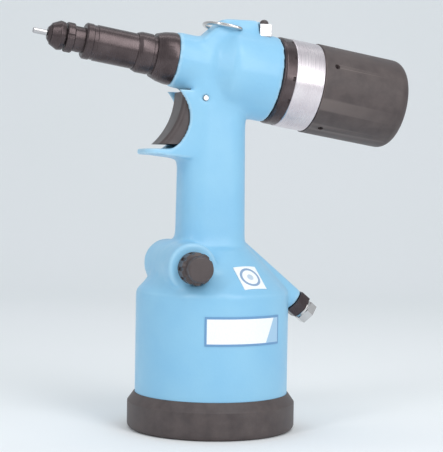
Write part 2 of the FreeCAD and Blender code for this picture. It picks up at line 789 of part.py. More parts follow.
# ---------------------------------------------------------------- body casting, bores
def casting_bores():
    """Everything that is machined out of the casting."""
    clip_low = f"{COVER_LOW} - clip_thickness - seat_gap"
    upright = turned("bore_upright", "base", [
        ("0", "foot_height - cut_past"), (BORE, "foot_height - cut_past"), (BORE, clip_low),
        (f"{BORE} + clip_groove", clip_low), (f"{BORE} + clip_groove", COVER_LOW),
        (BORE, COVER_LOW), (BORE, ROOF), ("gland_radius", ROOF),
        ("gland_radius", TUBE_LOW), ("tube_radius", TUBE_LOW), ("tube_radius", TUBE_HIGH),
        ("oil_way_radius", TUBE_HIGH), ("oil_way_radius", "head_height - oil_way_drop"),
        ("0", "head_height - oil_way_drop")])
    pulling = turned("bore_pulling", "head", [
        ("0", "-head_front - cut_past"), ("nose_seat", "-head_front - cut_past"),
        ("nose_seat", NOSE_SEAT_BACK), ("stem_bore", NOSE_SEAT_BACK),
        ("stem_bore", "oil_bore_start"), ("oil_bore", "oil_bore_start"),
        ("oil_bore", "drum_bore_start"), ("drum_bore", "drum_bore_start"),
        ("drum_bore", "drum_end + cut_past"), ("0", "drum_end + cut_past")])
    across = turned("bore_valve", "valve", [
        ("0", "-boss_far - cylinder_radius"),
        ("plug_head + free_gap", "-boss_far - cylinder_radius"),
        ("plug_head + free_gap", "-boss_far"), ("plug_radius", "-boss_far"),
        ("plug_radius", "plug_length - boss_far"), ("valve_bore", "plug_length - boss_far"),
        ("valve_bore", "boss_near"), ("knob_radius + 2 * free_gap", "boss_near"),
        ("knob_radius + 2 * free_gap", "boss_near + cylinder_radius"),
        ("0", "boss_near + cylinder_radius")])
    air = turned("bore_inlet", "inlet", [
        ("0", "-inlet_way_length"), ("air_way", "-inlet_way_length"),
        ("air_way", "-adaptor_spigot"), ("adaptor_thread", "-adaptor_spigot"),
        ("adaptor_thread", "cut_past"), ("0", "cut_past")])
    pin = rod("bore_trigger_pin", "pivot", "pin_radius", "-guard_width", "guard_width")

    slot = new_body("trigger_slot")
    ear_top = f"{PIN_HEIGHT} + ear_radius + free_gap"
    side_view = polygon(slot, "XZ_Plane", [
        ("-spur_reach - cut_past", SPUR_TOP), ("-slot_back", SPUR_TOP),
        ("-slot_back", f"{PIN_HEIGHT} - slot_step_drop"),
        ("-pin_forward + ear_radius + free_gap", f"{PIN_HEIGHT} - slot_ear_drop"),
        ("-pin_forward + ear_radius + free_gap", ear_top),
        ("-trigger_front", f"{ear_top} + slot_roof_rise"),
        ("-spur_reach - cut_past", f"{ear_top} + slot_roof_rise")])
    extrude(slot, side_view, "slot_width", both=True)

    plunger_way = new_body("bore_plunger")
    way = circles(plunger_way, "YZ_Plane", [("0", PLUNGER_HEIGHT, "plunger_radius")],
                  "-slot_back - cut_past")
    extrude(plunger_way, way, "plunger_length + cut_past")

    eyes = new_body("bore_bail")
    eye = circles(eyes, "XZ_Plane", [
        ("bail_back", "head_height + bail_lift", "bail_wire + fit_gap")])
    extrude(eyes, eye, "4 * hump_half_width", both=True)
    web = polygon(eyes, "XZ_Plane", [
        ("bail_back - bail_web / 2", "head_height + bail_lift - bail_web / 2"),
        ("bail_back + bail_web / 2", "head_height + bail_lift - bail_web / 2"),
        ("bail_back + bail_web / 2", "head_height + bail_lift + bail_web / 2"),
        ("bail_back - bail_web / 2", "head_height + bail_lift + bail_web / 2")])
    cut_away(eyes, web, "2 * (bail_half_width - bail_pin - free_gap)", both=True)

    recess = new_body("block_recess")
    room = polygon(recess, "XY_Plane", [
        (f"{BLOCK_FRONT} - free_gap", f"{BLOCK_NEAR} - block_depth"),
        ("block_back + free_gap", f"{BLOCK_NEAR} - block_depth"),
        ("block_back + free_gap", f"{BLOCK_FAR} + free_gap"),
        (f"{BLOCK_FRONT} - free_gap", f"{BLOCK_FAR} + free_gap")], BLOCK_LOW)
    extrude(recess, room, "2 * block_height")

    bleed = radial_pegs("bore_bleed", "bleed_radius", "bleed_length", "drum_radius",
                        "bleed_back", "bleed_angle", 1)
    return whole("Part::MultiFuse", "casting_bores",
                 [upright, pulling, across, air, pin, slot, plunger_way, eyes, recess,
                  bleed])


# ---------------------------------------------------------------- base
def base_boot():
    """Rubber boot that the tool stands on; it grips the foot of the cylinder."""
    boot = turned("base_boot", "base", [
        ("0", "0"), (BOOT, "0"), (BOOT, "boot_side"),
        ("cylinder_radius + boot_lip", "boot_side + boot_bevel"),
        ("cylinder_radius", "boot_side + boot_bevel"),
        ("cylinder_radius", "foot_height"), ("0", "foot_height")])
    soften(boot, "boot_edge", rim(BOOT, "0"))
    return boot


def base_cover():
    """Aluminium lid that closes the air cylinder from below."""
    return turned("base_cover", "base", [
        ("0", COVER_LOW), (f"{BORE} - seat_gap", COVER_LOW),
        (f"{BORE} - seat_gap", COVER_HIGH), (f"{BORE} - clip_width - cover_rim", COVER_HIGH),
        (f"{BORE} - clip_width - 2 * cover_rim", f"{COVER_HIGH} - cover_rim"),
        ("0", f"{COVER_HIGH} - cover_rim")])


def base_retaining_ring():
    """Spring clip in the cylinder's groove, holding the cover up; it has a gap."""
    clip = new_body("base_retaining_ring")
    outer = f"({BORE} + clip_groove - seat_gap)"
    low = f"{COVER_LOW} - clip_thickness"
    ring = circles(clip, "XY_Plane", [
        ("0", "0", outer), ("0", "0", f"{outer} - clip_width")], low)
    extrude(clip, ring, "clip_thickness")
    gap = polygon(clip, "XY_Plane", [
        ("0", "-clip_width"), (f"{outer} + cut_past", "-clip_width"),
        (f"{outer} + cut_past", "clip_width"), ("0", "clip_width")], low)
    cut_away(clip, gap, "clip_thickness", backwards=True)
    return clip


# ---------------------------------------------------------------- intensifier
def air_piston():
    seal_low = f"{PISTON_LOW} + (piston_thickness - lip_seal_height) / 2"
    skin = f"{BORE} - fit_gap"
    return turned("air_piston", "base", [
        ("rod_spigot + seat_gap", PISTON_LOW), (skin, PISTON_LOW), (skin, seal_low),
        (f"{skin} - lip_seal_depth", seal_low),
        (f"{skin} - lip_seal_depth", f"{seal_low} + lip_seal_height"),
        (skin, f"{seal_low} + lip_seal_height"), (skin, PISTON_HIGH),
        ("rod_spigot + seat_gap", PISTON_HIGH)])


def piston_lip_seal():
    low = f"{PISTON_LOW} + (piston_thickness - lip_seal_height) / 2"
    inner = f"{BORE} - fit_gap - lip_seal_depth"
    return turned("piston_lip_seal", "base", [
        (inner, low), (f"{BORE} - fit_gap", low),
        (f"{BORE} - fit_gap", f"{low} + lip_seal_height"),
        (f"{BORE} - fit_gap - lip_width", f"{low} + lip_seal_height"),
        (f"{inner} + lip_width", f"{low} + lip_floor"),
        (f"{inner} + lip_width", f"{low} + lip_seal_height"),
        (inner, f"{low} + lip_seal_height")])


def piston_rod():
    """Hardened rod that the air piston drives up into the oil."""
    piece = turned("piston_rod", "base", [
        ("0", f"{PISTON_LOW} - rod_tail"), ("rod_spigot", f"{PISTON_LOW} - rod_tail"),
        ("rod_spigot", PISTON_HIGH), ("rod_radius", PISTON_HIGH),
        ("rod_radius", ROD_TOP), ("0", ROD_TOP)])
    soften(piece, "rod_chamfer", rim("rod_radius", ROD_TOP), "PartDesign::Chamfer")
    return piece


def rod_collar_nut():
    """Round nut that clamps the piston against the rod's shoulder."""
    return tube("rod_collar_nut", "base", "rod_nut_radius", "rod_radius + seat_gap",
                PISTON_HIGH, f"{PISTON_HIGH} + rod_nut_height")


def rod_gland():
    return turned("rod_gland", "base", [
        (ROD_SKIN, ROOF), ("gland_radius - fit_gap", ROOF),
        ("gland_radius - fit_gap", TUBE_LOW), (ROD_SKIN, TUBE_LOW)])


def intensifier_tube():
    return tube("intensifier_tube", "base", "tube_radius - fit_gap", TUBE_BORE,
                TUBE_LOW, TUBE_HIGH)


# ---------------------------------------------------------------- throttle valve
def valve_knob():
    """Fluted knob: a skirt with a stepped, closed cap."""
    skirt_low = "boss_near + free_gap"
    skirt_high = f"{skirt_low} + knob_skirt"
    cap_high = f"{skirt_high} + knob_cap"
    knob = turned("valve_knob", "valve", [
        ("spindle_radius + seat_gap", skirt_low), ("knob_radius", skirt_low),
        ("knob_radius", skirt_high), ("knob_cap_radius", f"{skirt_high} + knob_step"),
        ("knob_cap_radius", cap_high), ("0", cap_high),
        ("0", f"{cap_high} - knob_end_wall"),
        ("spindle_radius + seat_gap", f"{cap_high} - knob_end_wall")])
    soften(knob, "knob_edge", rim("knob_cap_radius", cap_high))
    flute = circles(knob, "XY_Plane", [("knob_radius + knob_flute_out", "0", "knob_flute")],
                    f"{skirt_low} + knob_plain")
    cut = cut_away(knob, flute, "knob_skirt + cut_past", backwards=True)
    repeat(knob, cut, "knob_flute_count")
    return knob


def valve_spindle():
    """Spindle that the knob turns; its wide end faces the spool."""
    spindle_end = "boss_near + knob_skirt + knob_cap - knob_end_wall"
    return turned("valve_spindle", "valve", [
        ("0", "sleeve_end + free_gap"), ("valve_bore - fit_gap", "sleeve_end + free_gap"),
        ("valve_bore - fit_gap", "boss_near - spindle_shoulder"),
        ("spindle_radius", "boss_near - spindle_shoulder"),
        ("spindle_radius", spindle_end), ("0", spindle_end)])


def valve_sleeve():
    return tube("valve_sleeve", "valve", "valve_bore - fit_gap",
                "valve_bore - sleeve_wall", "sleeve_start", "sleeve_end")


def spool_valve():
    """Spool that shuttles in the sleeve: two lands and a waist."""
    land = "(valve_bore - sleeve_wall - fit_gap)"
    waist = f"{land} - spool_waist_depth"
    high = f"({SPOOL_LOW} + spool_length)"
    return turned("spool_valve", "valve", [
        ("0", SPOOL_LOW), (land, SPOOL_LOW), (land, f"{SPOOL_LOW} + spool_land"),
        (waist, f"{SPOOL_LOW} + spool_land + spool_bevel"),
        (waist, f"{high} - spool_land - spool_bevel"),
        (land, f"{high} - spool_land"), (land, high), ("0", high)])


def spool_spring():
    return coil("spool_spring", "valve", "valve_bore - sleeve_wall - spool_spring_gap",
                "spool_spring_wire / 2", f"{PLUG_TOP} + free_gap",
                f"{SPOOL_LOW} - {PLUG_TOP} - 2 * free_gap", "spool_spring_turns")


def valve_end_plug():
    plug = turned("valve_end_plug", "valve", [
        ("0", "-boss_far - plug_head_height"), ("plug_head", "-boss_far - plug_head_height"),
        ("plug_head", "-boss_far"), ("plug_radius - fit_gap", "-boss_far"),
        ("plug_radius - fit_gap", "plug_length - boss_far"),
        ("0", "plug_length - boss_far")])
    key = hexagon(plug, "plug_key", "-boss_far - plug_head_height")
    cut_away(plug, key, "plug_key_depth", backwards=True)
    return plug


# ---------------------------------------------------------------- trigger
def trigger():
    """Finger lever: a crescent between the cheeks, with an ear on the pin."""
    lever = new_body("trigger")
    high = "head_height - trigger_top_drop"
    low = f"{SPUR_TOP} + trigger_toe_lift"
    side_view = polygon(lever, "XZ_Plane", [
        ("-trigger_foot", low), ("-trigger_back - trigger_heel", low),
        ("-trigger_back", f"{low} + trigger_heel_rise"),
        ("-trigger_back", f"{PIN_HEIGHT} - trigger_step_drop"),
        ("-trigger_back + trigger_step", f"{PIN_HEIGHT} - trigger_step_drop + 2 * trigger_step"),
        ("-trigger_back + trigger_step", high), ("-trigger_foot", high)])
    extrude(lever, side_view, "slot_width - 2 * free_gap", both=True)
    finger = circles(lever, "XZ_Plane", [
        ("-finger_arc_forward", "head_height - finger_arc_drop", "finger_arc")])
    cut_away(lever, finger, "2 * slot_width", both=True)
    arc_radius = number("finger_arc")
    soften(lever, "trigger_edge", lambda edge: (
        isinstance(edge.Curve, Part.Circle) and abs(edge.Curve.Radius - arc_radius) < 1e-4))
    ear = circles(lever, "XZ_Plane", [("-pin_forward", PIN_HEIGHT, "ear_radius")])
    extrude(lever, ear, "ear_width", both=True)
    web = polygon(lever, "XZ_Plane", [
        ("-trigger_back", f"{PIN_HEIGHT} - ear_radius"),
        ("-pin_forward", f"{PIN_HEIGHT} - ear_radius"),
        ("-pin_forward", f"{PIN_HEIGHT} + ear_radius"),
        ("-trigger_back", f"{PIN_HEIGHT} + ear_radius")])
    extrude(lever, web, "ear_width", both=True)
    eye = circles(lever, "XZ_Plane", [("-pin_forward", PIN_HEIGHT, "pin_radius + fit_gap")])
    cut_away(lever, eye, "2 * slot_width", both=True)
    return lever


def trigger_pin():
    reach = "handle_width / 2 + pin_stand"
    return rod("trigger_pin", "pivot", "pin_radius - press_gap", f"-({reach})", reach)


def trigger_plunger():
    """Small rod that passes the trigger's push to the valve line."""
    plunger = new_body("trigger_plunger")
    section = circles(plunger, "YZ_Plane", [
        ("0", PLUNGER_HEIGHT, "plunger_radius - fit_gap")],
        "-trigger_back + free_gap / 2")
    extrude(plunger, section, "plunger_length - plunger_reach")
    return plunger


# ---------------------------------------------------------------- air inlet
def inlet_adaptor():
    """Black hexagon adaptor screwed into the boss; its spigot carries the swivel."""
    reach = "adaptor_length + swivel_length + spigot_lap"
    adaptor = turned("inlet_adaptor", "inlet", [
        ("0", "-adaptor_spigot"), ("adaptor_thread - fit_gap", "-adaptor_spigot"),
        ("adaptor_thread - fit_gap", reach), ("0", reach)])
    extrude(adaptor, hexagon(adaptor, "adaptor_hex", "0"), "adaptor_length")
    way = circles(adaptor, "XY_Plane", [("0", "0", "air_way")], "-adaptor_spigot")
    cut_away(adaptor, way, f"adaptor_spigot + {reach}", backwards=True)
    return adaptor


def inlet_swivel():
    """Bright swivel that lets the supply line turn about the inlet's axis."""
    low = "(adaptor_length + free_gap)"
    swivel = tube("inlet_swivel", "inlet", "swivel_radius", "adaptor_thread",
                  low, f"{low} + swivel_length")
    soften(swivel, "swivel_round", lambda edge: rim("swivel_radius", low)(edge)
           or rim("swivel_radius", f"{low} + swivel_length")(edge))
    return swivel


def inlet_nipple():
    """Hexagon end with the quarter-inch thread for the air hose."""
    nipple = new_body("inlet_nipple")
    low = "(adaptor_length + free_gap + swivel_length)"
    extrude(nipple, hexagon(nipple, "nipple_hex", low), "nipple_length")
    thread = circles(nipple, "XY_Plane", [("0", "0", "nipple_thread")],
                     f"{low} + nipple_length")
    cut_away(nipple, thread, "nipple_thread_depth")
    way = circles(nipple, "XY_Plane", [("0", "0", "adaptor_thread + free_gap")], low)
    cut_away(nipple, way, "nipple_length - nipple_thread_depth + 2 * seat_gap", backwards=True)
    place(nipple, "inlet")
    return nipple


# ---------------------------------------------------------------- bail, block and button
def suspension_bail():
    """Bent wire for the balancer's hook, its two ends turned into the hump."""
    wide, reach, bend = number("bail_half_width"), number("bail_reach"), number("bail_bend")
    pin, wire = number("bail_pin"), number("bail_wire")
    front = reach - wide
    corner = bend * (1 - math.sqrt(0.5))
    path = Part.Wire([
        Part.LineSegment(Vector(0, wide - pin, 0), Vector(0, wide - bend, 0)).toShape(),
        Part.Arc(Vector(0, wide - bend, 0), Vector(-corner, wide - corner, 0),
                 Vector(-bend, wide, 0)).toShape(),
        Part.LineSegment(Vector(-bend, wide, 0), Vector(-front, wide, 0)).toShape(),
        Part.Arc(Vector(-front, wide, 0), Vector(-reach, 0, 0),
                 Vector(-front, -wide, 0)).toShape(),
        Part.LineSegment(Vector(-front, -wide, 0), Vector(-bend, -wide, 0)).toShape(),
        Part.Arc(Vector(-bend, -wide, 0), Vector(-corner, corner - wide, 0),
                 Vector(0, bend - wide, 0)).toShape(),
        Part.LineSegment(Vector(0, bend - wide, 0), Vector(0, pin - wide, 0)).toShape()])
    ring = Part.Circle(Vector(0, wide - pin, 0), Vector(0, 1, 0), wire)
    section = Part.Wire([ring.toShape()])
    bail = doc.addObject("Part::Feature", "suspension_bail")
    bail.Label = "suspension_bail"
    bail.Shape = path.makePipeShell([section], True, False)
    bail.Placement = Placement(Vector(0, 0, 0), Rotation(Vector(0, 1, 0), number("bail_tilt")))
    tie(bail, "Placement.Base.x", "bail_back")
    tie(bail, "Placement.Base.z", "head_height + bail_lift")
    return bail


def reverse_block():
    """Steel valve block let into the hump."""
    block = new_body("reverse_block")
    plan = polygon(block, "XY_Plane", [
        (BLOCK_FRONT, BLOCK_NEAR), ("block_back", BLOCK_NEAR),
        ("block_back", BLOCK_FAR), (BLOCK_FRONT, BLOCK_FAR)], BLOCK_LOW)
    extrude(block, plan, "block_height")
    centre = (f"{BLOCK_FRONT} + block_length / 2", f"{BLOCK_NEAR} + block_depth / 2")
    well = circles(block, "XY_Plane", [(*centre, "button_radius + free_gap")], BLOCK_TOP)
    cut_away(block, well, f"{BLOCK_TOP} - {CAP_FLOOR}")
    way = circles(block, "XY_Plane", [(*centre, "button_stem + fit_gap")], BLOCK_TOP)
    cut_away(block, way, "block_height")
    return block


def reverse_button():
    """Domed push button that sends the motor backwards."""
    dome = [(f"button_radius * cos({angle})",
             f"{BLOCK_TOP} + button_rim + (button_dome - button_rim) * sin({angle})")
            for angle in (30, 60)]
    button = turned("reverse_button", "base", [
        ("0", f"{BLOCK_LOW} + button_travel + free_gap"),
        ("button_stem", f"{BLOCK_LOW} + button_travel + free_gap"), ("button_stem", CAP_LOW),
        ("button_radius", CAP_LOW), ("button_radius", f"{BLOCK_TOP} + button_rim"),
        *dome, ("0", f"{BLOCK_TOP} + button_dome")])
    centre_button(button)
    return button


def button_spring():
    spring = coil("button_spring", "base", "button_spring_radius", "button_spring_wire",
                  f"{CAP_FLOOR} + fit_gap", f"{CAP_LOW} - {CAP_FLOOR} - 2 * fit_gap",
                  "button_spring_turns")
    centre_button(spring)
    return spring


def centre_button(piece):
    tie(piece, "Placement.Base.x", f"{BLOCK_FRONT} + block_length / 2")
    tie(piece, "Placement.Base.y", f"{BLOCK_NEAR} + block_depth / 2")


# ---------------------------------------------------------------- nose
def nose_tip():
    """Nose tip: a flare under the dome collar on a long threaded shank."""
    return turned("nose_tip", "head", [
        ("tip_bore", "tip_front"), ("tip_radius", "tip_front"),
        ("tip_flare", "collar_front - 4 * fit_gap"), ("tip_shank", "collar_front"),
        ("tip_shank", "barrel_shoulder"), ("tip_bore", "barrel_shoulder")])


def nose_collar():
    """Dome-shaped collar behind the nose tip."""
    collar = turned("nose_collar", "head", [
        ("tip_shank + fit_gap", "collar_front"), ("collar_front_radius", "collar_front"),
        ("collar_radius", "collar_widest"), ("collar_radius - collar_draft", "collar_back"),
        ("tip_shank + fit_gap", "collar_back")])
    soften(collar, "collar_round", rim("collar_radius", "collar_widest"))
    return collar


def nose_lock_nut():
    """Slotted ring nut that locks the tip's depth."""
    nut = tube("nose_lock_nut", "head", "lock_nut_radius", "tip_shank + fit_gap",
               "lock_nut_front", "lock_nut_back")
    soften(nut, "lock_nut_bevel", lambda edge: rim("lock_nut_radius", "lock_nut_front")(edge)
           or rim("lock_nut_radius", "lock_nut_back")(edge), "PartDesign::Chamfer")
    slot = polygon(nut, "XY_Plane", [
        ("lock_nut_radius - lock_nut_slot_depth", "-lock_nut_slot / 2"),
        ("lock_nut_radius + cut_past", "-lock_nut_slot / 2"),
        ("lock_nut_radius + cut_past", "lock_nut_slot / 2"),
        ("lock_nut_radius - lock_nut_slot_depth", "lock_nut_slot / 2")], "lock_nut_back")
    repeat(nut, cut_away(nut, slot, "lock_nut_back - lock_nut_front + cut_past"), "4")
    return nut


def nose_barrel():
    """Long barrel; its neck takes the tip's thread."""
    neck_front = "lock_nut_back + 4 * fit_gap"
    groove = "barrel_shoulder + barrel_land"
    barrel = turned("nose_barrel", "head", [
        ("tip_shank + fit_gap", neck_front), ("barrel_neck", neck_front),
        ("barrel_neck", "barrel_shoulder"), ("barrel_radius - barrel_bevel", "barrel_shoulder"),
        ("barrel_radius", "barrel_shoulder + barrel_bevel"), ("barrel_radius", groove),
        ("barrel_radius - barrel_ring", f"{groove} + barrel_ring"),
        ("barrel_radius - barrel_ring", f"{groove} + barrel_groove"),
        ("barrel_radius", f"{groove} + barrel_groove + barrel_ring"),
        ("barrel_radius", "barrel_back"), ("barrel_bore", "barrel_back"),
        ("barrel_bore", "shaft_front - free_gap"),
        ("tip_shank + fit_gap", "shaft_front - free_gap")])
    holes = circles(barrel, "YZ_Plane", [
        ("0", "(lock_nut_back + barrel_shoulder) / 2", "barrel_hole")])
    cut_away(barrel, holes, "4 * barrel_neck", both=True)
    return barrel


def nose_flange_nut():
    """Grooved nut with a rounded bulge; it clamps the barrel to the head casting."""
    nut = turned("nose_flange_nut", "head", [
        ("barrel_radius + fit_gap", "flange_front"),
        ("barrel_radius + flange_lip", "flange_front"),
        ("flange_collar", "flange_front + flange_taper"),
        ("flange_collar", "flange_groove_front"),
        ("flange_collar - flange_groove_depth", "flange_groove_front"),
        ("flange_collar - flange_groove_depth", "flange_groove_back"),
        ("flange_swell", "flange_groove_back"), ("flange_bulge", "flange_bulge_back"),
        ("flange_radius", "-head_front - flange_rim"),
        ("flange_radius", "-head_front"), ("nose_seat - fit_gap", "-head_front"),
        ("nose_seat - fit_gap", NOSE_SEAT_BACK),
        ("shaft_radius + free_gap", NOSE_SEAT_BACK),
        ("shaft_radius + free_gap", "barrel_back + flange_mouth"),
        ("barrel_bore", "barrel_back"), ("barrel_radius + fit_gap", "barrel_back")])
    return nut


def drive_screw():
    """Replaceable threaded mandrel that the insert is spun onto."""
    screw = turned("drive_screw", "head", [
        ("0", "screw_tip"), ("screw_thread", "screw_tip"),
        ("screw_thread", "tip_front - screw_relief"),
        ("screw_thread - screw_relief", "tip_front"),
        ("screw_thread - screw_relief", "shaft_front"), ("0", "shaft_front")])
    soften(screw, "screw_relief", rim("screw_thread", "screw_tip"), "PartDesign::Chamfer")
    extrude(screw, hexagon(screw, "screw_head_hex", "shaft_front"), "screw_head_length")
    return screw


def drive_shaft():
    """Shaft through the piston: a socket in front, a collar, a hexagon behind."""
    collar_low = "(piston_face + piston_head)"
    key_low = f"({collar_low} + shaft_collar_length)"
    core = "shaft_hex / 2 - 2 * seat_gap"
    shaft = turned("drive_shaft", "head", [
        ("0", "shaft_front"), ("shaft_socket_radius", "shaft_front"),
        ("shaft_socket_radius", f"{SHAFT_NECK} - shaft_taper"), ("shaft_radius", SHAFT_NECK),
        ("shaft_radius", collar_low), ("shaft_collar", collar_low),
        ("shaft_collar", key_low), (core, key_low), (core, SHAFT_BACK), ("0", SHAFT_BACK)])
    socket = hexagon(shaft, "screw_head_hex + 2 * fit_gap", "shaft_front")
    cut_away(shaft, socket, "screw_head_length + free_gap", backwards=True)
    extrude(shaft, hexagon(shaft, "shaft_hex", key_low), f"{SHAFT_BACK} - {key_low}")
    return shaft


# ---------------------------------------------------------------- pulling head
def head_piston():
    """Hollow piston that pulls the shaft rearwards under oil pressure."""
    skin = "(oil_bore - fit_gap)"
    groove = "(piston_face + (piston_head - seal_height) / 2)"
    return turned("head_piston", "head", [
        ("shaft_radius + fit_gap", "-stem_front"), ("stem_bore - fit_gap", "-stem_front"),
        ("stem_bore - fit_gap", "piston_face"), (skin, "piston_face"), (skin, groove),
        (f"{skin} - seal_depth", groove), (f"{skin} - seal_depth", f"{groove} + seal_height"),
        (skin, f"{groove} + seal_height"), (skin, "piston_face + piston_head"),
        ("shaft_radius + fit_gap", "piston_face + piston_head")])


def head_piston_seal():
    low = "(piston_face + (piston_head - seal_height) / 2)"
    return tube("head_piston_seal", "head", "oil_bore - fit_gap",
                "oil_bore - fit_gap - seal_depth", low, f"{low} + seal_height")


def return_spring():
    low = "(piston_face + piston_head)"
    return coil("return_spring", "head", "spring_radius", "spring_wire / 2",
                f"{low} + fit_gap", f"{SEAT_LOW} - {low} - 2 * fit_gap", "spring_turns")


def spring_seat():
    """Disc behind the return spring; the gear carrier's boss turns in it."""
    return tube("spring_seat", "head", "drum_bore - fit_gap", "carrier_boss + fit_gap",
                SEAT_LOW, SEAT_HIGH)


# ---------------------------------------------------------------- gearbox
FLANK_STEPS = 6    # straight steps that each tooth flank is measured at


def involute_gear(teeth, width, inside=False, thin=True):
    """Involute tooth outline, as a face; inside=True gives the hole of a ring gear."""
    module, pressure = number("gear_module"), math.radians(number("pressure_angle"))
    pitch = module * teeth / 2
    base = pitch * math.cos(pressure)
    tall, deep = number("tooth_height") * module, number("tooth_root") * module
    tip, root = (pitch + deep, pitch - tall) if inside else (pitch + tall, pitch - deep)
    slack = number("backlash") / 2 * (-1 if inside else 1)
    half = (math.pi * module / 4 - slack / 2) / pitch + math.tan(pressure) - pressure

    def flank(radius):
        if radius <= base:
            return half
        angle = math.acos(base / radius)
        return half - (math.tan(angle) - angle)

    start = max(root, base)
    radii = [start + (tip - start) * i / FLANK_STEPS for i in range(FLANK_STEPS + 1)]
    edges = []
    step = 2 * math.pi / teeth

    def at(radius, angle):
        return Vector(radius * math.cos(angle), radius * math.sin(angle), 0)

    for i in range(teeth):
        middle = i * step
        rise = [at(r, middle - flank(r)) for r in radii]
        fall = [at(r, middle + flank(r)) for r in reversed(radii)]
        foot = [at(root, middle - half)] if root < base else []
        end = [at(root, middle + half)] if root < base else []
        if foot:
            edges.append(Part.LineSegment(foot[0], rise[0]).toShape())
        for run in (rise, fall):
            curve = Part.BSplineCurve()
            curve.interpolate(run)
            edges.append(curve.toShape())
            if run is rise:
                edges.append(Part.Arc(rise[-1], at(tip, middle), fall[0]).toShape())
        if end:
            edges.append(Part.LineSegment(fall[-1], end[0]).toShape())
        last = end[0] if end else fall[-1]
        following = middle + step
        low = root if root < base else radii[0]
        first = at(low, following - (half if root < base else flank(radii[0])))
        edges.append(Part.Arc(last, at(low, middle + step / 2), first).toShape())
    face = Part.Face(Part.Wire(Part.__sortEdges__(edges)))
    return face.extrude(Vector(0, 0, width))


def solid_feature(label, shape, frame="head"):
    """A piece whose shape is worked out by formula, laid in its frame."""
    piece = doc.addObject("Part::Feature", label)
    piece.Label = label
    moved = shape.Placement.toMatrix()
    shape.Placement = Placement()
    piece.Shape = shape.transformed(moved, True)
    place(piece, frame)
    return piece


def bar(radius, low, high, x=0.0, y=0.0):
    return Part.makeCylinder(radius, high - low, Vector(x, y, low))


def sun_pinion():
    low, high = number(GEAR_LOW), number(f"{FRONT_LOW} - fit_gap")
    gear = involute_gear(int(number("sun_teeth")), number("gear_width"))
    gear.translate(Vector(0, 0, low))
    stub = bar(number("sun_stub"), low, high)
    return solid_feature("sun_pinion", gear.fuse(stub).removeSplitter())


def planet_gear(index):
    teeth, width = int(number("planet_teeth")), number("gear_width")
    gear = involute_gear(teeth, width)
    gear.rotate(Vector(0, 0, 0), Vector(0, 0, 1), 180 / teeth)
    gear = gear.cut(bar(number("planet_pin_radius + fit_gap"), -1, width + 1))
    gear.translate(Vector(number(ORBIT), 0, number(GEAR_LOW)))
    gear.rotate(Vector(0, 0, 0), Vector(0, 0, 1), 360 * index / number("planet_count"))
    return solid_feature(f"planet_gear_{index + 1}", gear)


def ring_gear():
    teeth = int(number("sun_teeth + 2 * planet_teeth"))
    low, high = number(RING_LOW), number(RING_HIGH)
    hole = involute_gear(teeth, high - low + 2, inside=True)
    hole.rotate(Vector(0, 0, 0), Vector(0, 0, 1), 180 / teeth)
    hole.translate(Vector(0, 0, low - 1))
    blank = bar(number(f"{CASING_BORE} - fit_gap"), low, high)
    return solid_feature("ring_gear", blank.cut(hole))


def planet_carrier():
    """Carrier: its boss turns in the spring seat and grips the shaft's hexagon."""
    carrier = turned("planet_carrier", "head", [
        ("0", SEAT_LOW), ("carrier_boss", SEAT_LOW), ("carrier_boss", DISC_LOW),
        ("carrier_disc_radius", DISC_LOW), ("carrier_disc_radius", DISC_HIGH),
        ("0", DISC_HIGH)])
    key = hexagon(carrier, "shaft_hex + 4 * fit_gap", SEAT_LOW)
    cut_away(carrier, key, f"{DISC_HIGH} - {SEAT_LOW} + cut_past", backwards=True)
    hole = circles(carrier, "XY_Plane", [(ORBIT, "0", "planet_pin_radius")], DISC_HIGH)
    cut = cut_away(carrier, hole, "carrier_disc + cut_past")
    repeat(carrier, cut, "planet_count")
    return carrier


def planet_pins():
    count = int(number("planet_count"))
    low, high = number(f"{DISC_LOW} + free_gap"), number(GEAR_HIGH)
    pins = []
    for i in range(count):
        pin = bar(number("planet_pin_radius - press_gap"), low, high, number(ORBIT))
        pin.rotate(Vector(0, 0, 0), Vector(0, 0, 1), 360 * i / count)
        pins.append(pin)
    return solid_feature("planet_pins", Part.makeCompound(pins))


# ---------------------------------------------------------------- air motor
def end_plate(label, low, high, bearing_low):
    """Motor end plate with a pocket for its bearing, open at one of its faces."""
    bearing_high = f"({bearing_low} + bearing_width)"
    skin, shaft = f"{CASING_BORE} - fit_gap", "rotor_shaft + free_gap"
    pocket = "bearing_radius + fit_gap / 5"
    if bearing_low == low:
        points = [(pocket, low), (skin, low), (skin, high), (shaft, high),
                  (shaft, bearing_high), (pocket, bearing_high)]
    else:
        points = [(shaft, low), (skin, low), (skin, high), (pocket, high),
                  (pocket, bearing_low), (shaft, bearing_low)]
    return turned(label, "head", points)


FRONT_BEARING = FRONT_LOW
REAR_BEARING = f"({REAR_HIGH} - bearing_width)"


def rotor_bearings():
    rings = []
    for low_text in (FRONT_BEARING, REAR_BEARING):
        low = number(low_text)
        high = low + number("bearing_width")
        rings.append(bar(number("bearing_radius"), low, high).cut(
            bar(number("rotor_shaft + fit_gap"), low - 1, high + 1)))
    return solid_feature("rotor_bearings", Part.makeCompound(rings))


def stator():
    """Motor cylinder: its bore is offset so that the vanes sweep a crescent."""
    cylinder = new_body("stator")
    bore = "rotor_radius + stator_offset + stator_gap"
    section = circles(cylinder, "XY_Plane", [
        ("0", "0", f"{CASING_BORE} - fit_gap"), ("stator_offset", "0", bore)], FRONT_HIGH)
    extrude(cylinder, section, f"{REAR_LOW} - {FRONT_HIGH}")
    place(cylinder, "head")
    return cylinder


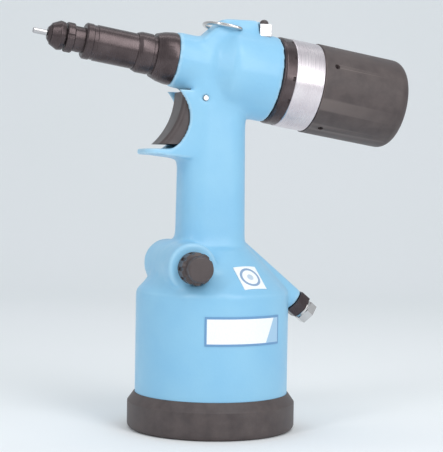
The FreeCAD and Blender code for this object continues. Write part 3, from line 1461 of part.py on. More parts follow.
def rotor():
    shaft_low, shaft_high = f"({FRONT_LOW} - fit_gap)", f"({REAR_HIGH} + rotor_tail)"
    piece = turned("rotor", "head", [
        ("0", shaft_low), ("rotor_shaft", shaft_low), ("rotor_shaft", ROTOR_LOW),
        ("rotor_radius", ROTOR_LOW), ("rotor_radius", ROTOR_HIGH),
        ("rotor_shaft", ROTOR_HIGH), ("rotor_shaft", shaft_high), ("0", shaft_high)])
    slot = polygon(piece, "XY_Plane", [
        ("rotor_radius - vane_depth", "-vane_slot / 2"),
        ("rotor_radius + cut_past", "-vane_slot / 2"),
        ("rotor_radius + cut_past", "vane_slot / 2"),
        ("rotor_radius - vane_depth", "vane_slot / 2")],
        ROTOR_HIGH)
    repeat(piece, cut_away(piece, slot, "rotor_length + cut_past"), "vane_count")
    return piece


def rotor_vanes():
    count = int(number("vane_count"))
    low, length = number(ROTOR_LOW), number("rotor_length")
    thick = number("vane_slot - 2 * fit_gap")
    tall = number("vane_depth - fit_gap")
    vanes = []
    for i in range(count):
        vane = Part.makeBox(tall, thick, length,
                            Vector(number("rotor_radius") - tall, -thick / 2, low))
        vane = vane.common(bar(number("rotor_radius"), low, low + length))
        vane.rotate(Vector(0, 0, 0), Vector(0, 0, 1), 360 * i / count)
        vanes.append(vane)
    return solid_feature("rotor_vanes", Part.makeCompound(vanes))


def silencer():
    """Sintered ring that quietens the exhaust air."""
    return tube("silencer", "head", f"{CASING_BORE} - seat_gap", "silencer_bore",
                f"{REAR_HIGH} + fit_gap", f"{REAR_HIGH} + silencer_length")


def clamp_ring():
    """Black ring nut that ties the motor to the head, notched at its rear edge."""
    ring = tube("clamp_ring", "head", "clamp_radius", CASING_BORE, "drum_end", CLAMP_END)
    soften(ring, "clamp_round", rim("clamp_radius", "drum_end"))
    notch = circles(ring, "XY_Plane", [
        ("clamp_radius + clamp_notch_out", "0", "clamp_notch")], CLAMP_END)
    repeat(ring, cut_away(ring, notch, "clamp_notch_depth"), "clamp_notches")
    return ring


def motor_band():
    band = tube("motor_band", "head", "band_radius", CASING_BORE, CLAMP_END, BAND_END)
    soften(band, "band_bevel", lambda edge: rim("band_radius", CLAMP_END)(edge)
           or rim("band_radius", BAND_END)(edge), "PartDesign::Chamfer")
    return band


SET_SCREWS = int(number("set_screw_count"))


def motor_cover():
    """Deep rear cover; the exhaust leaves through the ring of vents in its end."""
    cover = turned("motor_cover", "head", [
        (CASING_BORE, BAND_END), ("cover_radius - cover_bevel", BAND_END),
        ("cover_radius", f"{BAND_END} + cover_bevel"), ("cover_radius", COVER_END),
        ("0", COVER_END), ("0", f"{COVER_END} - cover_end_wall"),
        (CASING_BORE, f"{COVER_END} - cover_end_wall")])
    soften(cover, "cover_edge", rim("cover_radius", COVER_END))
    vent = circles(cover, "XY_Plane", [("vent_circle", "0", "vent_radius")], COVER_END)
    repeat(cover, cut_away(cover, vent, "cover_end_wall + cut_past"), "vent_count")
    pegs = radial_pegs("bore_set_screws", "set_screw_radius", "set_screw_length + cut_past",
                       "cover_radius + cut_past", f"{BAND_END} + set_screw_back",
                       "90 - set_screw_angle", SET_SCREWS)
    cover.Label = "cover_blank"
    return whole("Part::Cut", "motor_cover", [cover, pegs])


def cover_set_screws():
    return radial_pegs("cover_set_screws", "set_screw_radius - press_gap",
                       "set_screw_length - 2 * set_screw_sink",
                       "cover_radius - set_screw_sink", f"{BAND_END} + set_screw_back",
                       "90 - set_screw_angle", SET_SCREWS, socket="set_screw_radius / 2")


# ---------------------------------------------------------------- plates
def name_plate():
    """Thin blank plate wrapped round the cylinder."""
    inner = number("cylinder_radius")
    low, high = number("plate_bottom"), number("plate_bottom + plate_height")
    shape = bar(inner + number("plate_sheet"), low, high).cut(bar(inner, low, high))
    wedge = Part.makeCylinder(2 * inner, high, Vector(0, 0, 0), Vector(0, 0, 1),
                              number("plate_right - plate_left"))
    wedge.rotate(Vector(0, 0, 0), Vector(0, 0, 1), number("plate_left") - 90)
    return solid_feature("name_plate", shape.common(wedge), "base")


def badge_plate():
    """Small square plate that follows the shoulder's slope."""
    run, rise = number("cylinder_radius - shoulder_neck"), number("shoulder_rise")
    low, wide, tall = number("shoulder_height"), number("badge_width"), number("badge_height")
    neck, foot = number("shoulder_neck"), number("cylinder_radius")
    slope = math.atan2(rise, run)
    skin = number("badge_thickness") / math.sin(slope)
    shell = Part.makeCone(foot + skin, neck + skin, rise, Vector(0, 0, low))
    shell = shell.cut(Part.makeCone(foot, neck, rise, Vector(0, 0, low)))
    share = number("badge_slope_place")
    centre = Vector(neck + share * run, 0, low + rise * (1 - share))
    window = Part.makeBox(wide, wide, tall, Vector(-wide / 2, -wide / 2, -tall / 2))
    window.rotate(Vector(0, 0, 0), Vector(0, 1, 0), math.degrees(slope) - 90)
    window.translate(centre)
    piece = shell.common(window)
    piece.rotate(Vector(0, 0, 0), Vector(0, 0, 1), number("badge_turn") - 90)
    return solid_feature("badge_plate", piece, "base")


def bleed_screw():
    """Socket screw that closes the oil filling hole."""
    return radial_pegs("bleed_screw", "bleed_radius - press_gap", "bleed_length - bleed_sink",
                       "drum_radius - bleed_sink", "bleed_back", "bleed_angle", 1,
                       socket="bleed_radius / 2")


# ---------------------------------------------------------------- building it all
outside = casting_outside()
bores = casting_bores()
casting = whole("Part::Cut", "body_casting", [outside, bores])
keep(casting)

MAKERS = [
    base_boot, base_cover, base_retaining_ring,
    air_piston, piston_lip_seal, piston_rod, rod_collar_nut, rod_gland, intensifier_tube,
    valve_knob, valve_spindle, valve_sleeve, spool_valve, spool_spring, valve_end_plug,
    trigger, trigger_pin, trigger_plunger,
    inlet_adaptor, inlet_swivel, inlet_nipple,
    suspension_bail, reverse_block, reverse_button, button_spring, bleed_screw,
    nose_tip, nose_collar, nose_lock_nut, nose_barrel, nose_flange_nut,
    drive_screw, drive_shaft,
    head_piston, head_piston_seal, return_spring, spring_seat,
    sun_pinion, ring_gear, planet_carrier, planet_pins,
    rotor_bearings, stator, rotor, rotor_vanes, silencer,
    clamp_ring, motor_band, motor_cover, cover_set_screws,
    name_plate, badge_plate,
]
for make in MAKERS:
    keep(make())
for index in range(int(number("planet_count"))):
    keep(planet_gear(index))
keep(end_plate("front_end_plate", FRONT_LOW, FRONT_HIGH, FRONT_BEARING))
keep(end_plate("rear_end_plate", REAR_LOW, REAR_HIGH, REAR_BEARING))

doc.recompute()
for item in doc.Objects:
    if "Invalid" in item.State or "Error" in item.State:
        raise RuntimeError(f"{item.Label} failed: {item.State}")
os.makedirs("parts", exist_ok=True)
for piece in sub_parts:
    shape = piece.Shape
    if shape.isNull() or not shape.isValid() or not shape.Solids:
        raise RuntimeError(f"{piece.Label} has no valid shape")
    shape.exportStep(f"parts/{piece.Label}.step")
    print(f"{piece.Label:22s} {len(shape.Solids)} solid(s) {shape.Volume / 1000:9.3f} cm3")
print(len(sub_parts), "sub-parts")
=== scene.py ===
# %% [markdown]
# # A hydro-pneumatic gun for threaded rivets, dressed for the camera
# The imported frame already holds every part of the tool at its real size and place.
# This lesson gives those parts their looks: cast enamel, turned and blackened steel,
# moulded nylon and rubber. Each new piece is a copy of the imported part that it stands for,
# and places are read from the frame, so a changed size carries through. Only the shelf
# under the trigger is drawn here.

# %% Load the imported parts
import json
import math

import bmesh
import bpy
import numpy as np
from mathutils import Matrix, Vector

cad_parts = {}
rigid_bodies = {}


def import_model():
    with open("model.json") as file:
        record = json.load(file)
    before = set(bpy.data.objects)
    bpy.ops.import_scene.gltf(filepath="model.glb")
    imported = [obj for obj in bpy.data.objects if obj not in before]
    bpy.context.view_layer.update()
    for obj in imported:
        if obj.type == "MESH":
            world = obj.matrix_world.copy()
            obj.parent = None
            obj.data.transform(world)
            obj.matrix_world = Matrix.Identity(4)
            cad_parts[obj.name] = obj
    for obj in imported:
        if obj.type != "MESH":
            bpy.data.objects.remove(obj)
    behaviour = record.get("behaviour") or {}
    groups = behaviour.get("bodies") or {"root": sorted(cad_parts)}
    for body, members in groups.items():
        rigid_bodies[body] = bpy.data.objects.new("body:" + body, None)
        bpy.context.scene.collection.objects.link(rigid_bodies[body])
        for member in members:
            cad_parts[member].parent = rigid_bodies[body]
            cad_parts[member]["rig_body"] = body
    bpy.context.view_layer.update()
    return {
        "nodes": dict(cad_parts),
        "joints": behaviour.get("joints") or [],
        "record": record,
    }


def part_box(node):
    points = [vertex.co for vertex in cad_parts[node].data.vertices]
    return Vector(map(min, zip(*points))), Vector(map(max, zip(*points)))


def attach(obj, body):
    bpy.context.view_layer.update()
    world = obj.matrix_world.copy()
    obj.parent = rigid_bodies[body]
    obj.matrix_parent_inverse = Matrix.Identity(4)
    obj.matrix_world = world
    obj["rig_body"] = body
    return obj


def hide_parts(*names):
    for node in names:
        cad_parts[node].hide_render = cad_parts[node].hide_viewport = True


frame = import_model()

# %% [markdown]
# ## Millimetres and colours
# A maker thinks in millimetres and in printed colour numbers, and Blender in metres and in
# linear light. Two small functions translate, so that every size and colour below can be
# read as it would be on a drawing.

# %% Units and colours
def mm(length):
    return length / 1000


def linear(code):
    """An sRGB hex colour as the linear RGBA that Blender's sockets take."""
    parts = [int(code[i:i + 2], 16) / 255 for i in (1, 3, 5)]
    return [p / 12.92 if p <= 0.04045 else ((p + 0.055) / 1.055) ** 2.4 for p in parts] + [1.0]


bpy.context.scene.view_settings.view_transform = "Standard"

# %% [markdown]
# ## The camera
# The tool stands upright and is seen almost level, a little from its nose's side, through a
# long lens, so that upright edges stay nearly parallel. The lens could be shorter and
# nearer, but then the motor cover would look larger than the base. The camera leans by
# under a degree, as a hand-levelled one does.

# %% Camera
SENSOR, FOCAL_LENGTH = 36.0, 111.0265   # both in millimetres, as lens makers give them
camera_azimuth, camera_elevation = math.radians(-18.0), math.radians(1.95)
camera_roll = math.radians(0.95)
camera_distance = 1.0
aim_height, aim_right = mm(144.8), mm(5.86)

back = Vector((math.sin(camera_azimuth) * math.cos(camera_elevation),
               -math.cos(camera_azimuth) * math.cos(camera_elevation),
               math.sin(camera_elevation)))
right = Vector((math.cos(camera_azimuth), math.sin(camera_azimuth), 0))
up = back.cross(right)
leaning_right = right * math.cos(camera_roll) + up * math.sin(camera_roll)
leaning_up = up * math.cos(camera_roll) - right * math.sin(camera_roll)

lens = bpy.data.cameras.new("long_lens")
lens.sensor_width = SENSOR
lens.lens = FOCAL_LENGTH
camera = bpy.data.objects.new("camera", lens)
bpy.context.collection.objects.link(camera)
target = right * aim_right + Vector((0, 0, aim_height))
camera.matrix_world = (Matrix.Translation(target + back * camera_distance)
                       @ Matrix((leaning_right, leaning_up, back)).transposed().to_4x4())
bpy.context.scene.camera = camera
print(f"a {lens.lens:.0f} mm lens at {camera_distance:.2f} m")

# %% [markdown]
# ## One function for every node
# A procedural material is a small network. Building it by hand in code needs the same three
# steps each time: make the node, set what is fixed, link what comes from another node. One
# function does all three. It tells a link from a value by its type, and it takes a whole
# node as a link from that node's first output.

# %% The node function
def connect(tree, node, sockets):
    """Set a node's inputs to values, or link them from a socket or from a node."""
    for name, value in sockets.items():
        if isinstance(value, bpy.types.Node):
            value = next(socket for socket in value.outputs if socket.enabled)
        if isinstance(value, bpy.types.NodeSocket):
            tree.links.new(value, node.inputs[name])
        else:
            node.inputs[name].default_value = value


def add(tree, kind, sockets=None, **settings):
    """Add a shader node. settings are its properties; sockets are its inputs' values or links."""
    made = tree.nodes.new("ShaderNode" + kind)
    for name, value in settings.items():
        setattr(made, name, value)
    connect(tree, made, sockets or {})
    return made


def new_finish(name, **fixed):
    """A new material, its tree and its main shader, with the values that are the same all over."""
    made = bpy.data.materials.new(name)
    made.use_nodes = True
    shader = made.node_tree.nodes["Principled BSDF"]
    for socket, value in fixed.items():
        shader.inputs[socket.replace("_", " ")].default_value = value
    return made, made.node_tree, shader

# %% [markdown]
# ## Where a pattern sits
# Lathe marks run round the axis that a part was turned on, and that axis is often tilted.
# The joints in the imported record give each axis, so a frame is made from a joint: its origin
# is a point on the axis and its Z runs along it. Both the patterns and the new meshes use it.

# %% Axes of the tool
joints = {joint["name"]: joint for joint in frame["joints"]}


def axis_frame(joint, behind=Vector((0, 0, 1))):
    """The matrix of a frame on a joint's axis: Z runs along it, and X is nearest to behind."""
    along = Vector(joints[joint]["axis"]).normalized()
    sideways = along.cross(behind).normalized()
    turn = Matrix((sideways.cross(along), sideways, along)).transposed().to_4x4()
    return Matrix.Translation(Vector(joints[joint]["pos_m"])) @ turn


HEAD = axis_frame("rotor_spin")
KNOB = axis_frame("knob_turn")
INLET = axis_frame("swivel_turn")
UPRIGHT = Matrix.Identity(4)


def measure(node, at):
    """How far along an axis a part starts and ends, and its largest radius, in metres."""
    inverse = at.inverted()
    points = [inverse @ vertex.co for vertex in frame["nodes"][node].data.vertices]
    return (min(p.z for p in points), max(p.z for p in points),
            max(math.hypot(p.x, p.y) for p in points))


for part in ("nose_barrel", "motor_band", "motor_cover"):
    print(part, [f"{1000 * size:.1f}" for size in measure(part, HEAD)])


def along(tree, at=UPRIGHT):
    """The surface point in an axis's own frame, as a vector socket and its X, Y and Z."""
    place, turn, _ = at.decompose()
    here = add(tree, "TexCoord").outputs["Object"]
    moved = add(tree, "Mapping", {"Vector": here, "Location": place,
                                  "Rotation": turn.to_euler()}, vector_type="TEXTURE")
    split = add(tree, "SeparateXYZ", {"Vector": moved.outputs["Vector"]})
    return moved.outputs["Vector"], split.outputs

# %% [markdown]
# ## Grain, wear, painted highlights and bump
# Three things recur: a fine grain that breaks up the shine, a slow drift of colour from
# handling, and paler corners. On most finishes the paler corners are wear where edges are
# rubbed; on the enamel they are partly thinned paint and partly a painted highlight. They are
# written once here, and each finish below chooses its own sizes. A grain finer than about
# 0.7 mm can't show at the camera's distance, so some grains are drawn coarser than life, as
# their comments say.

# %% Helpers that all finishes share
def drift(tree, where, size, low, high, detail=2.0, rough=0.5):
    """A value that drifts from low to high over patches about this large, in metres."""
    noise = add(tree, "TexNoise", {"Vector": where, "Scale": 1 / size, "Detail": detail,
                                   "Roughness": rough})
    return add(tree, "MapRange", {"Value": noise, "From Min": 0.3, "From Max": 0.7,
                                  "To Min": low, "To Max": high})


def corner_wear_and_highlight(tree, shader, colour, bare_and_highlight, sharpness=0.56):
    """Paler corners that stand out: rubbed wear, and on the enamel partly a painted highlight."""
    flat = 0.51
    bend = add(tree, "NewGeometry").outputs["Pointiness"]
    # The corners picked here turn paler: wear on most finishes, partly a painted highlight on the
    # enamel.
    rubbed_and_lit = add(tree, "MapRange", {"Value": bend, "From Min": flat, "From Max": sharpness})
    worn_and_lit = add(tree, "Mix", {"Factor": rubbed_and_lit, "A": colour, "B": bare_and_highlight}, data_type="RGBA")
    connect(tree, shader, {"Base Color": worn_and_lit})


def raise_by(tree, shader, height, depth):
    """Let a pattern lift the surface by up to this depth, in metres."""
    bump = add(tree, "Bump", {"Height": height, "Distance": depth, "Strength": 1.0})
    connect(tree, shader, {"Normal": bump})

# %% [markdown]
# ## Stoved enamel on the casting
# The body is one light-alloy casting, sprayed light blue and baked. Baked enamel is glossy
# close up, but it levels over a slightly grainy casting, so its highlights are soft. The eye
# reads three things: an orange-peel ripple of a millimetre or two, a paler blue on the corners,
# which is partly paint thinned there and partly a painted highlight, and a faint unevenness
# from hand to hand. A painted picture could be wrapped round the casting, but it would show
# seams on so branched a shape, so all three are drawn from the surface point.

# %% Enamel
def stoved_enamel(name, body, shade, edge):
    """Sprayed and baked enamel: IOR 1.5, satin, orange peel, corners paler by thin paint and a
    painted highlight.
    """
    made, tree, shader = new_finish(name, Roughness=0.42, IOR=1.5, Coat_Weight=0.18,
                                    Coat_Roughness=0.16)
    where, _ = along(tree)
    clouds = drift(tree, where, mm(38), 0, 1, 3.0)
    colour = add(tree, "Mix", {"Factor": clouds, "A": linear(body), "B": linear(shade)},
                 data_type="RGBA")
    # The corners' paler blue is partly thinned paint and partly a painted highlight.
    corner_wear_and_highlight(tree, shader, colour, linear(edge))
    connect(tree, shader, {"Roughness": drift(tree, where, mm(9), 0.36, 0.5, 4.0)})
    peel = add(tree, "TexNoise", {"Vector": where, "Scale": 1 / mm(1.8), "Detail": 1.0})
    raise_by(tree, shader, peel, mm(0.05))
    return made


# %% [markdown]
# ## Blackened steel
# The nose parts are turned steel with a black oxide skin and a wipe of oil. Oxide is a
# thin dark layer on bright metal, so the part is still a mirror of sorts: brown-black where
# it faces the dark, and almost white where it faces a lamp. A dark paint would be simpler,
# but its highlights would be grey and even, so it is made as a metal. Turning leaves fine
# rings.
# A lathe's finishing rings are 0.1 to 0.2 mm apart, too fine to show here, so they are drawn
# at 0.35 mm, and at 0.6 mm on the band, whose brushing is the coarsest.

# %% Turned metals
def turned_metal(name, at, light, dark, roughness, ring=0.35, depth=0.01, metallic=1.0):
    """Metal off a lathe: rings of this width, in millimetres, round the axis it was turned on."""
    made, tree, shader = new_finish(name, Metallic=metallic)
    where, split = along(tree, at)
    rings = add(tree, "TexNoise", {"W": split["Z"], "Scale": 1 / mm(ring), "Detail": 3.0},
                noise_dimensions="1D")
    patches = drift(tree, where, mm(14), 0, 1, 4.0)
    colour = add(tree, "Mix", {"Factor": patches, "A": linear(light), "B": linear(dark)},
                 data_type="RGBA")
    corner_wear_and_highlight(tree, shader, colour, linear(light), 0.6)
    shine = add(tree, "MapRange", {"Value": rings, "From Min": 0.3, "From Max": 0.7,
                                   "To Min": roughness - 0.06, "To Max": roughness + 0.08})
    connect(tree, shader, {"Roughness": shine})
    raise_by(tree, shader, rings, mm(depth))
    return made


# %% [markdown]
# ## Moulded nylon and rubber
# The cover, knob and trigger are glass-filled nylon, and the boot is rubber. Moulds for both
# are lightly eroded, which leaves a matt skin of rounded pits. Nylon keeps a soft sheen;
# rubber is duller, and picks up pale dust in the pits and scuffs on its corners. Real
# eroded pits are about 0.15 mm across; they are drawn at 0.7 to 1.2 mm so that they show.
# There are far too many to model, and they don't change an outline, so they are a bump.

# %% Moulded finishes
def moulded(name, body, scuffed, roughness, pit, depth, at=UPRIGHT, index=1.52):
    """A moulded skin with rounded pits of this size, in millimetres."""
    made, tree, shader = new_finish(name, IOR=index)
    where, _ = along(tree, at)
    pits = add(tree, "TexVoronoi", {"Vector": where, "Scale": 1 / mm(pit)},
               feature="SMOOTH_F1")
    smear, dust = mm(11), 0.45
    dusty = drift(tree, where, smear, 0, dust, 5.0, 0.6)
    colour = add(tree, "Mix", {"Factor": dusty, "A": linear(body), "B": linear(scuffed)},
                 data_type="RGBA")
    corner_wear_and_highlight(tree, shader, colour, linear(scuffed), 0.62)
    dull = drift(tree, where, smear, roughness - 0.05, roughness + 0.08, 5.0, 0.6)
    connect(tree, shader, {"Roughness": dull})
    raise_by(tree, shader, pits, mm(depth))
    return made


# %% [markdown]
# ## Printed foil
# The two labels are thin aluminium foil with a printed face. The wide one is darker blue round
# its edge, with a white field and a slanted pale stripe near its right end. The small square one
# carries a plain ring. Both are drawn by arithmetic on the surface point, so they need no
# picture and stay sharp.

# %% Ink on foil
def between(tree, value, low, high):
    """1 where a value lies between two limits, else 0."""
    above = add(tree, "Math", {0: value, 1: low}, operation="GREATER_THAN")
    below = add(tree, "Math", {0: value, 1: high}, operation="LESS_THAN")
    return add(tree, "Math", {0: above, 1: below}, operation="MULTIPLY")


def print_ink(tree, shader, layers, paper):
    """Lay inks over the paper's colour, each a pattern and a colour, and speckle the print."""
    where, _ = along(tree)
    speckle = drift(tree, where, mm(1.1), 0, 1)
    colour = add(tree, "Mix", {"Factor": speckle, "A": linear(paper), "B": linear("#F4F8FA")},
                 data_type="RGBA")
    for share, ink in layers:
        colour = add(tree, "Mix", {"Factor": share, "A": colour, "B": linear(ink)},
                     data_type="RGBA")
    connect(tree, shader, {"Base Color": colour})
    dimples = add(tree, "TexNoise", {"Vector": where, "Scale": 1 / mm(2.5), "Detail": 1.0})
    raise_by(tree, shader, dimples, mm(0.02))

# %% Name plate
def plate_print():
    """White foil, darker blue round its edge, with a slanted pale stripe."""
    made, tree, shader = new_finish("printed_foil_plate", Roughness=0.34, IOR=1.45)
    low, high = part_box("name_plate")
    radius = -low.y
    _, split = along(tree)
    forward = add(tree, "Math", {0: split["Y"], 1: -1.0}, operation="MULTIPLY")
    turn = add(tree, "Math", {0: split["X"], 1: forward}, operation="ARCTAN2")
    across = add(tree, "Math", {0: turn, 1: radius}, operation="MULTIPLY")
    left, right_end = (math.asin(side / radius) * radius for side in (low.x, high.x))
    rim_band, lean = mm(1.5), 0.45
    stripe_start, stripe_stop = mm(13), mm(1)
    within_height = between(tree, split["Z"], low.z + rim_band, high.z - rim_band)
    within_width = between(tree, across, left + rim_band, right_end - rim_band)
    inside = add(tree, "Math", {0: within_height, 1: within_width}, operation="MULTIPLY")
    shift = add(tree, "Math", {0: split["Z"], 1: -lean}, operation="MULTIPLY")
    slant = add(tree, "Math", {0: across, 1: shift}, operation="ADD")
    stripe_end = right_end - rim_band - lean * low.z
    stripe = between(tree, slant, stripe_end - stripe_start, stripe_end - stripe_stop)
    outside = add(tree, "Math", {0: 1.0, 1: inside}, operation="SUBTRACT")
    print_ink(tree, shader, [(stripe, "#A9CCE6"), (outside, "#6F9CC6")], "#FBFDFD")
    return made

# %% Badge
def badge_print():
    """White foil with a plain grey-blue ring and a pale spot in its middle."""
    made, tree, shader = new_finish("printed_foil_badge", Roughness=0.34, IOR=1.45)
    low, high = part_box("badge_plate")
    middle = (low + high) / 2
    ring_inside, ring_outside, spot_radius = mm(6.2), mm(8.0), mm(2.6)
    here = add(tree, "TexCoord").outputs["Object"]
    away = add(tree, "VectorMath", {0: here, 1: middle}, operation="DISTANCE").outputs["Value"]
    ring = between(tree, away, ring_inside, ring_outside)
    spot = add(tree, "Math", {0: away, 1: spot_radius}, operation="LESS_THAN")
    print_ink(tree, shader, [(ring, "#8FA9C8"), (spot, "#C3D3E2")], "#FBFDFD")
    return made

# %% [markdown]
# ## The finish cupboard
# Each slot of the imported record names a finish. Making them all in one table keeps the
# names together, and lets every carried-over part take the right one by its slot.

# %% All the finishes
finishes = {
    # soft highlights, a slow drift of blue, and paler corners, partly a painted highlight
    "casting_paint": stoved_enamel("stoved_enamel_blue", "#86C1E4", "#92C9E7", "#B9DDF0"),
    # almost no shine, with dusty scuffs
    "boot_rubber": moulded("moulded_rubber_boot", "#413737", "#6A5F5C", 0.5, 0.9, 0.03),
    # dark, with long pale highlights in fine rings
    "black_oxide_steel": turned_metal("black_oxide_steel", HEAD, "#5C5152", "#443A3B", 0.27,
                                      metallic=0.72),
    # an even soft sheen over small pits
    "black_nylon": moulded("moulded_nylon_black", "#453B3B", "#5D5352", 0.4, 0.8, 0.02, HEAD),
    # the palest metal, with streaks from coarse turning
    "band_aluminium": turned_metal("turned_aluminium_band", HEAD, "#E4DDE0", "#D3CACF", 0.3,
                                   0.6, 0.012),
    # pale and clean, with finer rings
    "machined_aluminium": turned_metal("machined_aluminium", UPRIGHT, "#D5D6D8", "#C2C4C7",
                                       0.32),
    # cooler and sharper than aluminium
    "bright_steel": turned_metal("ground_steel", HEAD, "#C6C4C5", "#ACAAAC", 0.24),
    # drawn wire, darker than the ground steel
    "spring_steel": turned_metal("spring_steel_wire", HEAD, "#96969B", "#7C7C82", 0.3),
    # the sharpest mirror on the tool
    "nickel_plate": turned_metal("nickel_plate", INLET, "#D8D6D5", "#C4C1C0", 0.14),
    # a warm yellow metal with a dull cast skin
    "gland_bronze": turned_metal("cast_bronze", UPRIGHT, "#C4A068", "#A9844C", 0.35),
    # hardened, so greyer and a little smoky
    "gear_steel": turned_metal("hardened_gear_steel", HEAD, "#8F8D90", "#757377", 0.3),
    # nearly black and slightly oily
    "seal_rubber": moulded("nitrile_rubber", "#1C1C1E", "#333336", 0.45, 0.7, 0.01),
    # brown resin and cloth, dull where it was sawn
    "vane_laminate": moulded("resin_laminate", "#74492A", "#8F6440", 0.5, 0.9, 0.02, HEAD),
    # no shine at all, and a deep loose grain
    "wool_felt": moulded("pressed_wool_felt", "#6E6960", "#8A857A", 0.85, 1.2, 0.25),
    # printed foil, smooth and white
    "plate_print": plate_print(),
}
for material_row in frame["record"]["materials"]:
    print(material_row["slot"], "->", finishes[material_row["slot"]].name)


def paint(piece, finish):
    """Give a piece one finish all over."""
    piece.data.materials.clear()
    piece.data.materials.append(finish)


for row in frame["record"]["subparts"]:
    paint(frame["nodes"][row["node"]], finishes[row["material_slot"]])

# %% [markdown]
# ## A softer edge on every visible part
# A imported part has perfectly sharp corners, and nothing real has. A bevel catches the thin
# bright line that tells the eye a part was made. Modelling each corner by hand would be
# slow, and a bump can't change an outline, so each visible part is copied, its flat faces
# are made whole again, and its sharp edges are bevelled in real geometry.

# %% Edge-softened copies
def refined(node, name, edge, segments=3, corner=28):
    """A copy of a part with its edges rounded by this much, in millimetres."""
    weld, nearly_flat = mm(0.003), math.radians(0.6)
    source = frame["nodes"][node]
    mesh = source.data.copy()
    mesh.name = name
    shape = bmesh.new()
    shape.from_mesh(mesh)
    bmesh.ops.remove_doubles(shape, verts=shape.verts, dist=weld)
    bmesh.ops.dissolve_limit(shape, angle_limit=nearly_flat, verts=shape.verts,
                             edges=shape.edges)
    for face in shape.faces:
        face.smooth = True
    for line in shape.edges:
        line.smooth = True
    shape.to_mesh(mesh)
    shape.free()
    piece = bpy.data.objects.new(name, mesh)
    bpy.context.collection.objects.link(piece)
    bevel = piece.modifiers.new("edge", "BEVEL")
    bevel.width, bevel.segments = mm(edge), segments
    bevel.limit_method, bevel.angle_limit = "ANGLE", math.radians(corner)
    shade = piece.modifiers.new("shade", "WEIGHTED_NORMAL")
    shade.keep_sharp = True
    settle(piece)
    stands_for(piece, node)
    return piece

# %% Settle and stand in
def settle(piece):
    """Turn a piece's modifiers into its final mesh."""
    bpy.context.view_layer.update()
    ready = piece.evaluated_get(bpy.context.evaluated_depsgraph_get())
    final = bpy.data.meshes.new_from_object(ready)
    piece.modifiers.clear()
    piece.data = final


def stands_for(piece, node):
    """The piece moves with the part's body, hides the part and takes its slot's finish."""
    slot = next(row["material_slot"] for row in frame["record"]["subparts"]
                if row["node"] == node)
    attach(piece, frame["nodes"][node]["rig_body"])
    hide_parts(node)
    paint(piece, finishes[slot])

# %% The visible parts
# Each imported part, its copy's name, and how much its edges are rounded in millimetres.
visible = [
    ("nose_tip", "nose_tip_turned", 0.25), ("nose_collar", "nose_collar_domed", 0.3),
    ("nose_lock_nut", "nose_lock_nut_slotted", 0.3), ("nose_barrel", "nose_barrel_turned", 0.3),
    ("nose_flange_nut", "nose_flange_nut_coned", 0.35), ("clamp_ring", "clamp_ring_notched", 0.4),
    ("motor_band", "motor_band_turned", 0.3), ("motor_cover", "motor_cover_moulded", 0.5),
    ("cover_set_screws", "cover_set_screws_socket", 0.15),
    ("base_boot", "base_boot_moulded", 0.8), ("valve_knob", "valve_knob_fluted", 0.35),
    ("valve_end_plug", "valve_end_plug_socket", 0.4), ("trigger", "trigger_moulded", 0.7),
    ("trigger_pin", "trigger_pin_ground", 0.3), ("inlet_adaptor", "inlet_adaptor_turned", 0.3),
    ("inlet_swivel", "inlet_swivel_plated", 0.3), ("inlet_nipple", "inlet_nipple_hexagon", 0.5),
    ("reverse_block", "reverse_block_machined", 0.4),
    ("reverse_button", "reverse_button_domed", 0.3), ("bleed_screw", "bleed_screw_socket", 0.15),
    ("name_plate", "name_plate_foil", 0.12), ("badge_plate", "badge_foil", 0.12),
    ("suspension_bail", "suspension_bail_wire", 0.2),
]
for node, name, edge in visible:
    made = refined(node, name, edge)
    print(f"{name:26s} {len(made.data.polygons):6d} faces")

paint(bpy.data.objects["badge_foil"], badge_print())

# %% [markdown]
# ## The casting
# On a real casting no two walls meet in a sharp inner corner: the pattern maker fills each
# one with a radius so that metal flows and the part won't crack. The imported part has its
# machined bores and its main walls, but sharp joins. Here the whole casting is remeshed to
# an even skin; then its inner corners are filled by letting the skin rise wherever its
# neighbours stand higher, and the rest is eased a little. Bores keep their size, because
# other parts run in them.
#
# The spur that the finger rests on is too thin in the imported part, where the cheeks' curve
# runs into it. It is drawn here as a shelf of even thickness and joined before the remesh,
# so that the skin closes over both as one casting.

# %% Finger shelf
def finger_shelf():
    """The spur under the trigger: a shelf of even thickness, round at its front corners."""
    toe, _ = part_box("trigger")
    tip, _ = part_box("body_casting")
    below_trigger, thick, half = mm(3.4), mm(4), mm(17)
    into_handle, corner, steps = mm(22), mm(9), 8
    top, rear = toe.z - below_trigger, toe.x + into_handle
    outline = [(rear, -half), (rear, half)]
    for side, first in ((1, 90), (-1, 180)):
        for step in range(steps + 1):
            turn = math.radians(first + 90 * step / steps)
            outline.append((tip.x + corner + corner * math.cos(turn),
                            side * (half - corner) + corner * math.sin(turn)))
    shelf = bmesh.new()
    plan = shelf.faces.new([shelf.verts.new((x, y, top - thick)) for x, y in outline])
    raised = bmesh.ops.extrude_face_region(shelf, geom=[plan])["geom"]
    bmesh.ops.translate(shelf, vec=(0, 0, thick),
                        verts=[part for part in raised if isinstance(part, bmesh.types.BMVert)])
    bmesh.ops.recalc_face_normals(shelf, faces=shelf.faces)
    print(f"shelf {1000 * (rear - tip.x):.0f} x {2000 * half:.0f} x {1000 * thick:.0f} mm")
    return shelf

# %% Skin of the casting
VOXEL = mm(1.15)


def even_skin(node, name, voxel, joined):
    """A copy of a part, with one more shape cast onto it, as one mesh of small squares."""
    joined.from_mesh(frame["nodes"][node].data)
    mesh = bpy.data.meshes.new(name)
    joined.to_mesh(mesh)
    joined.free()
    piece = bpy.data.objects.new(name, mesh)
    bpy.context.collection.objects.link(piece)
    remesh = piece.modifiers.new("skin", "REMESH")
    remesh.mode, remesh.voxel_size = "VOXEL", voxel
    remesh.use_smooth_shade = True
    settle(piece)
    return piece

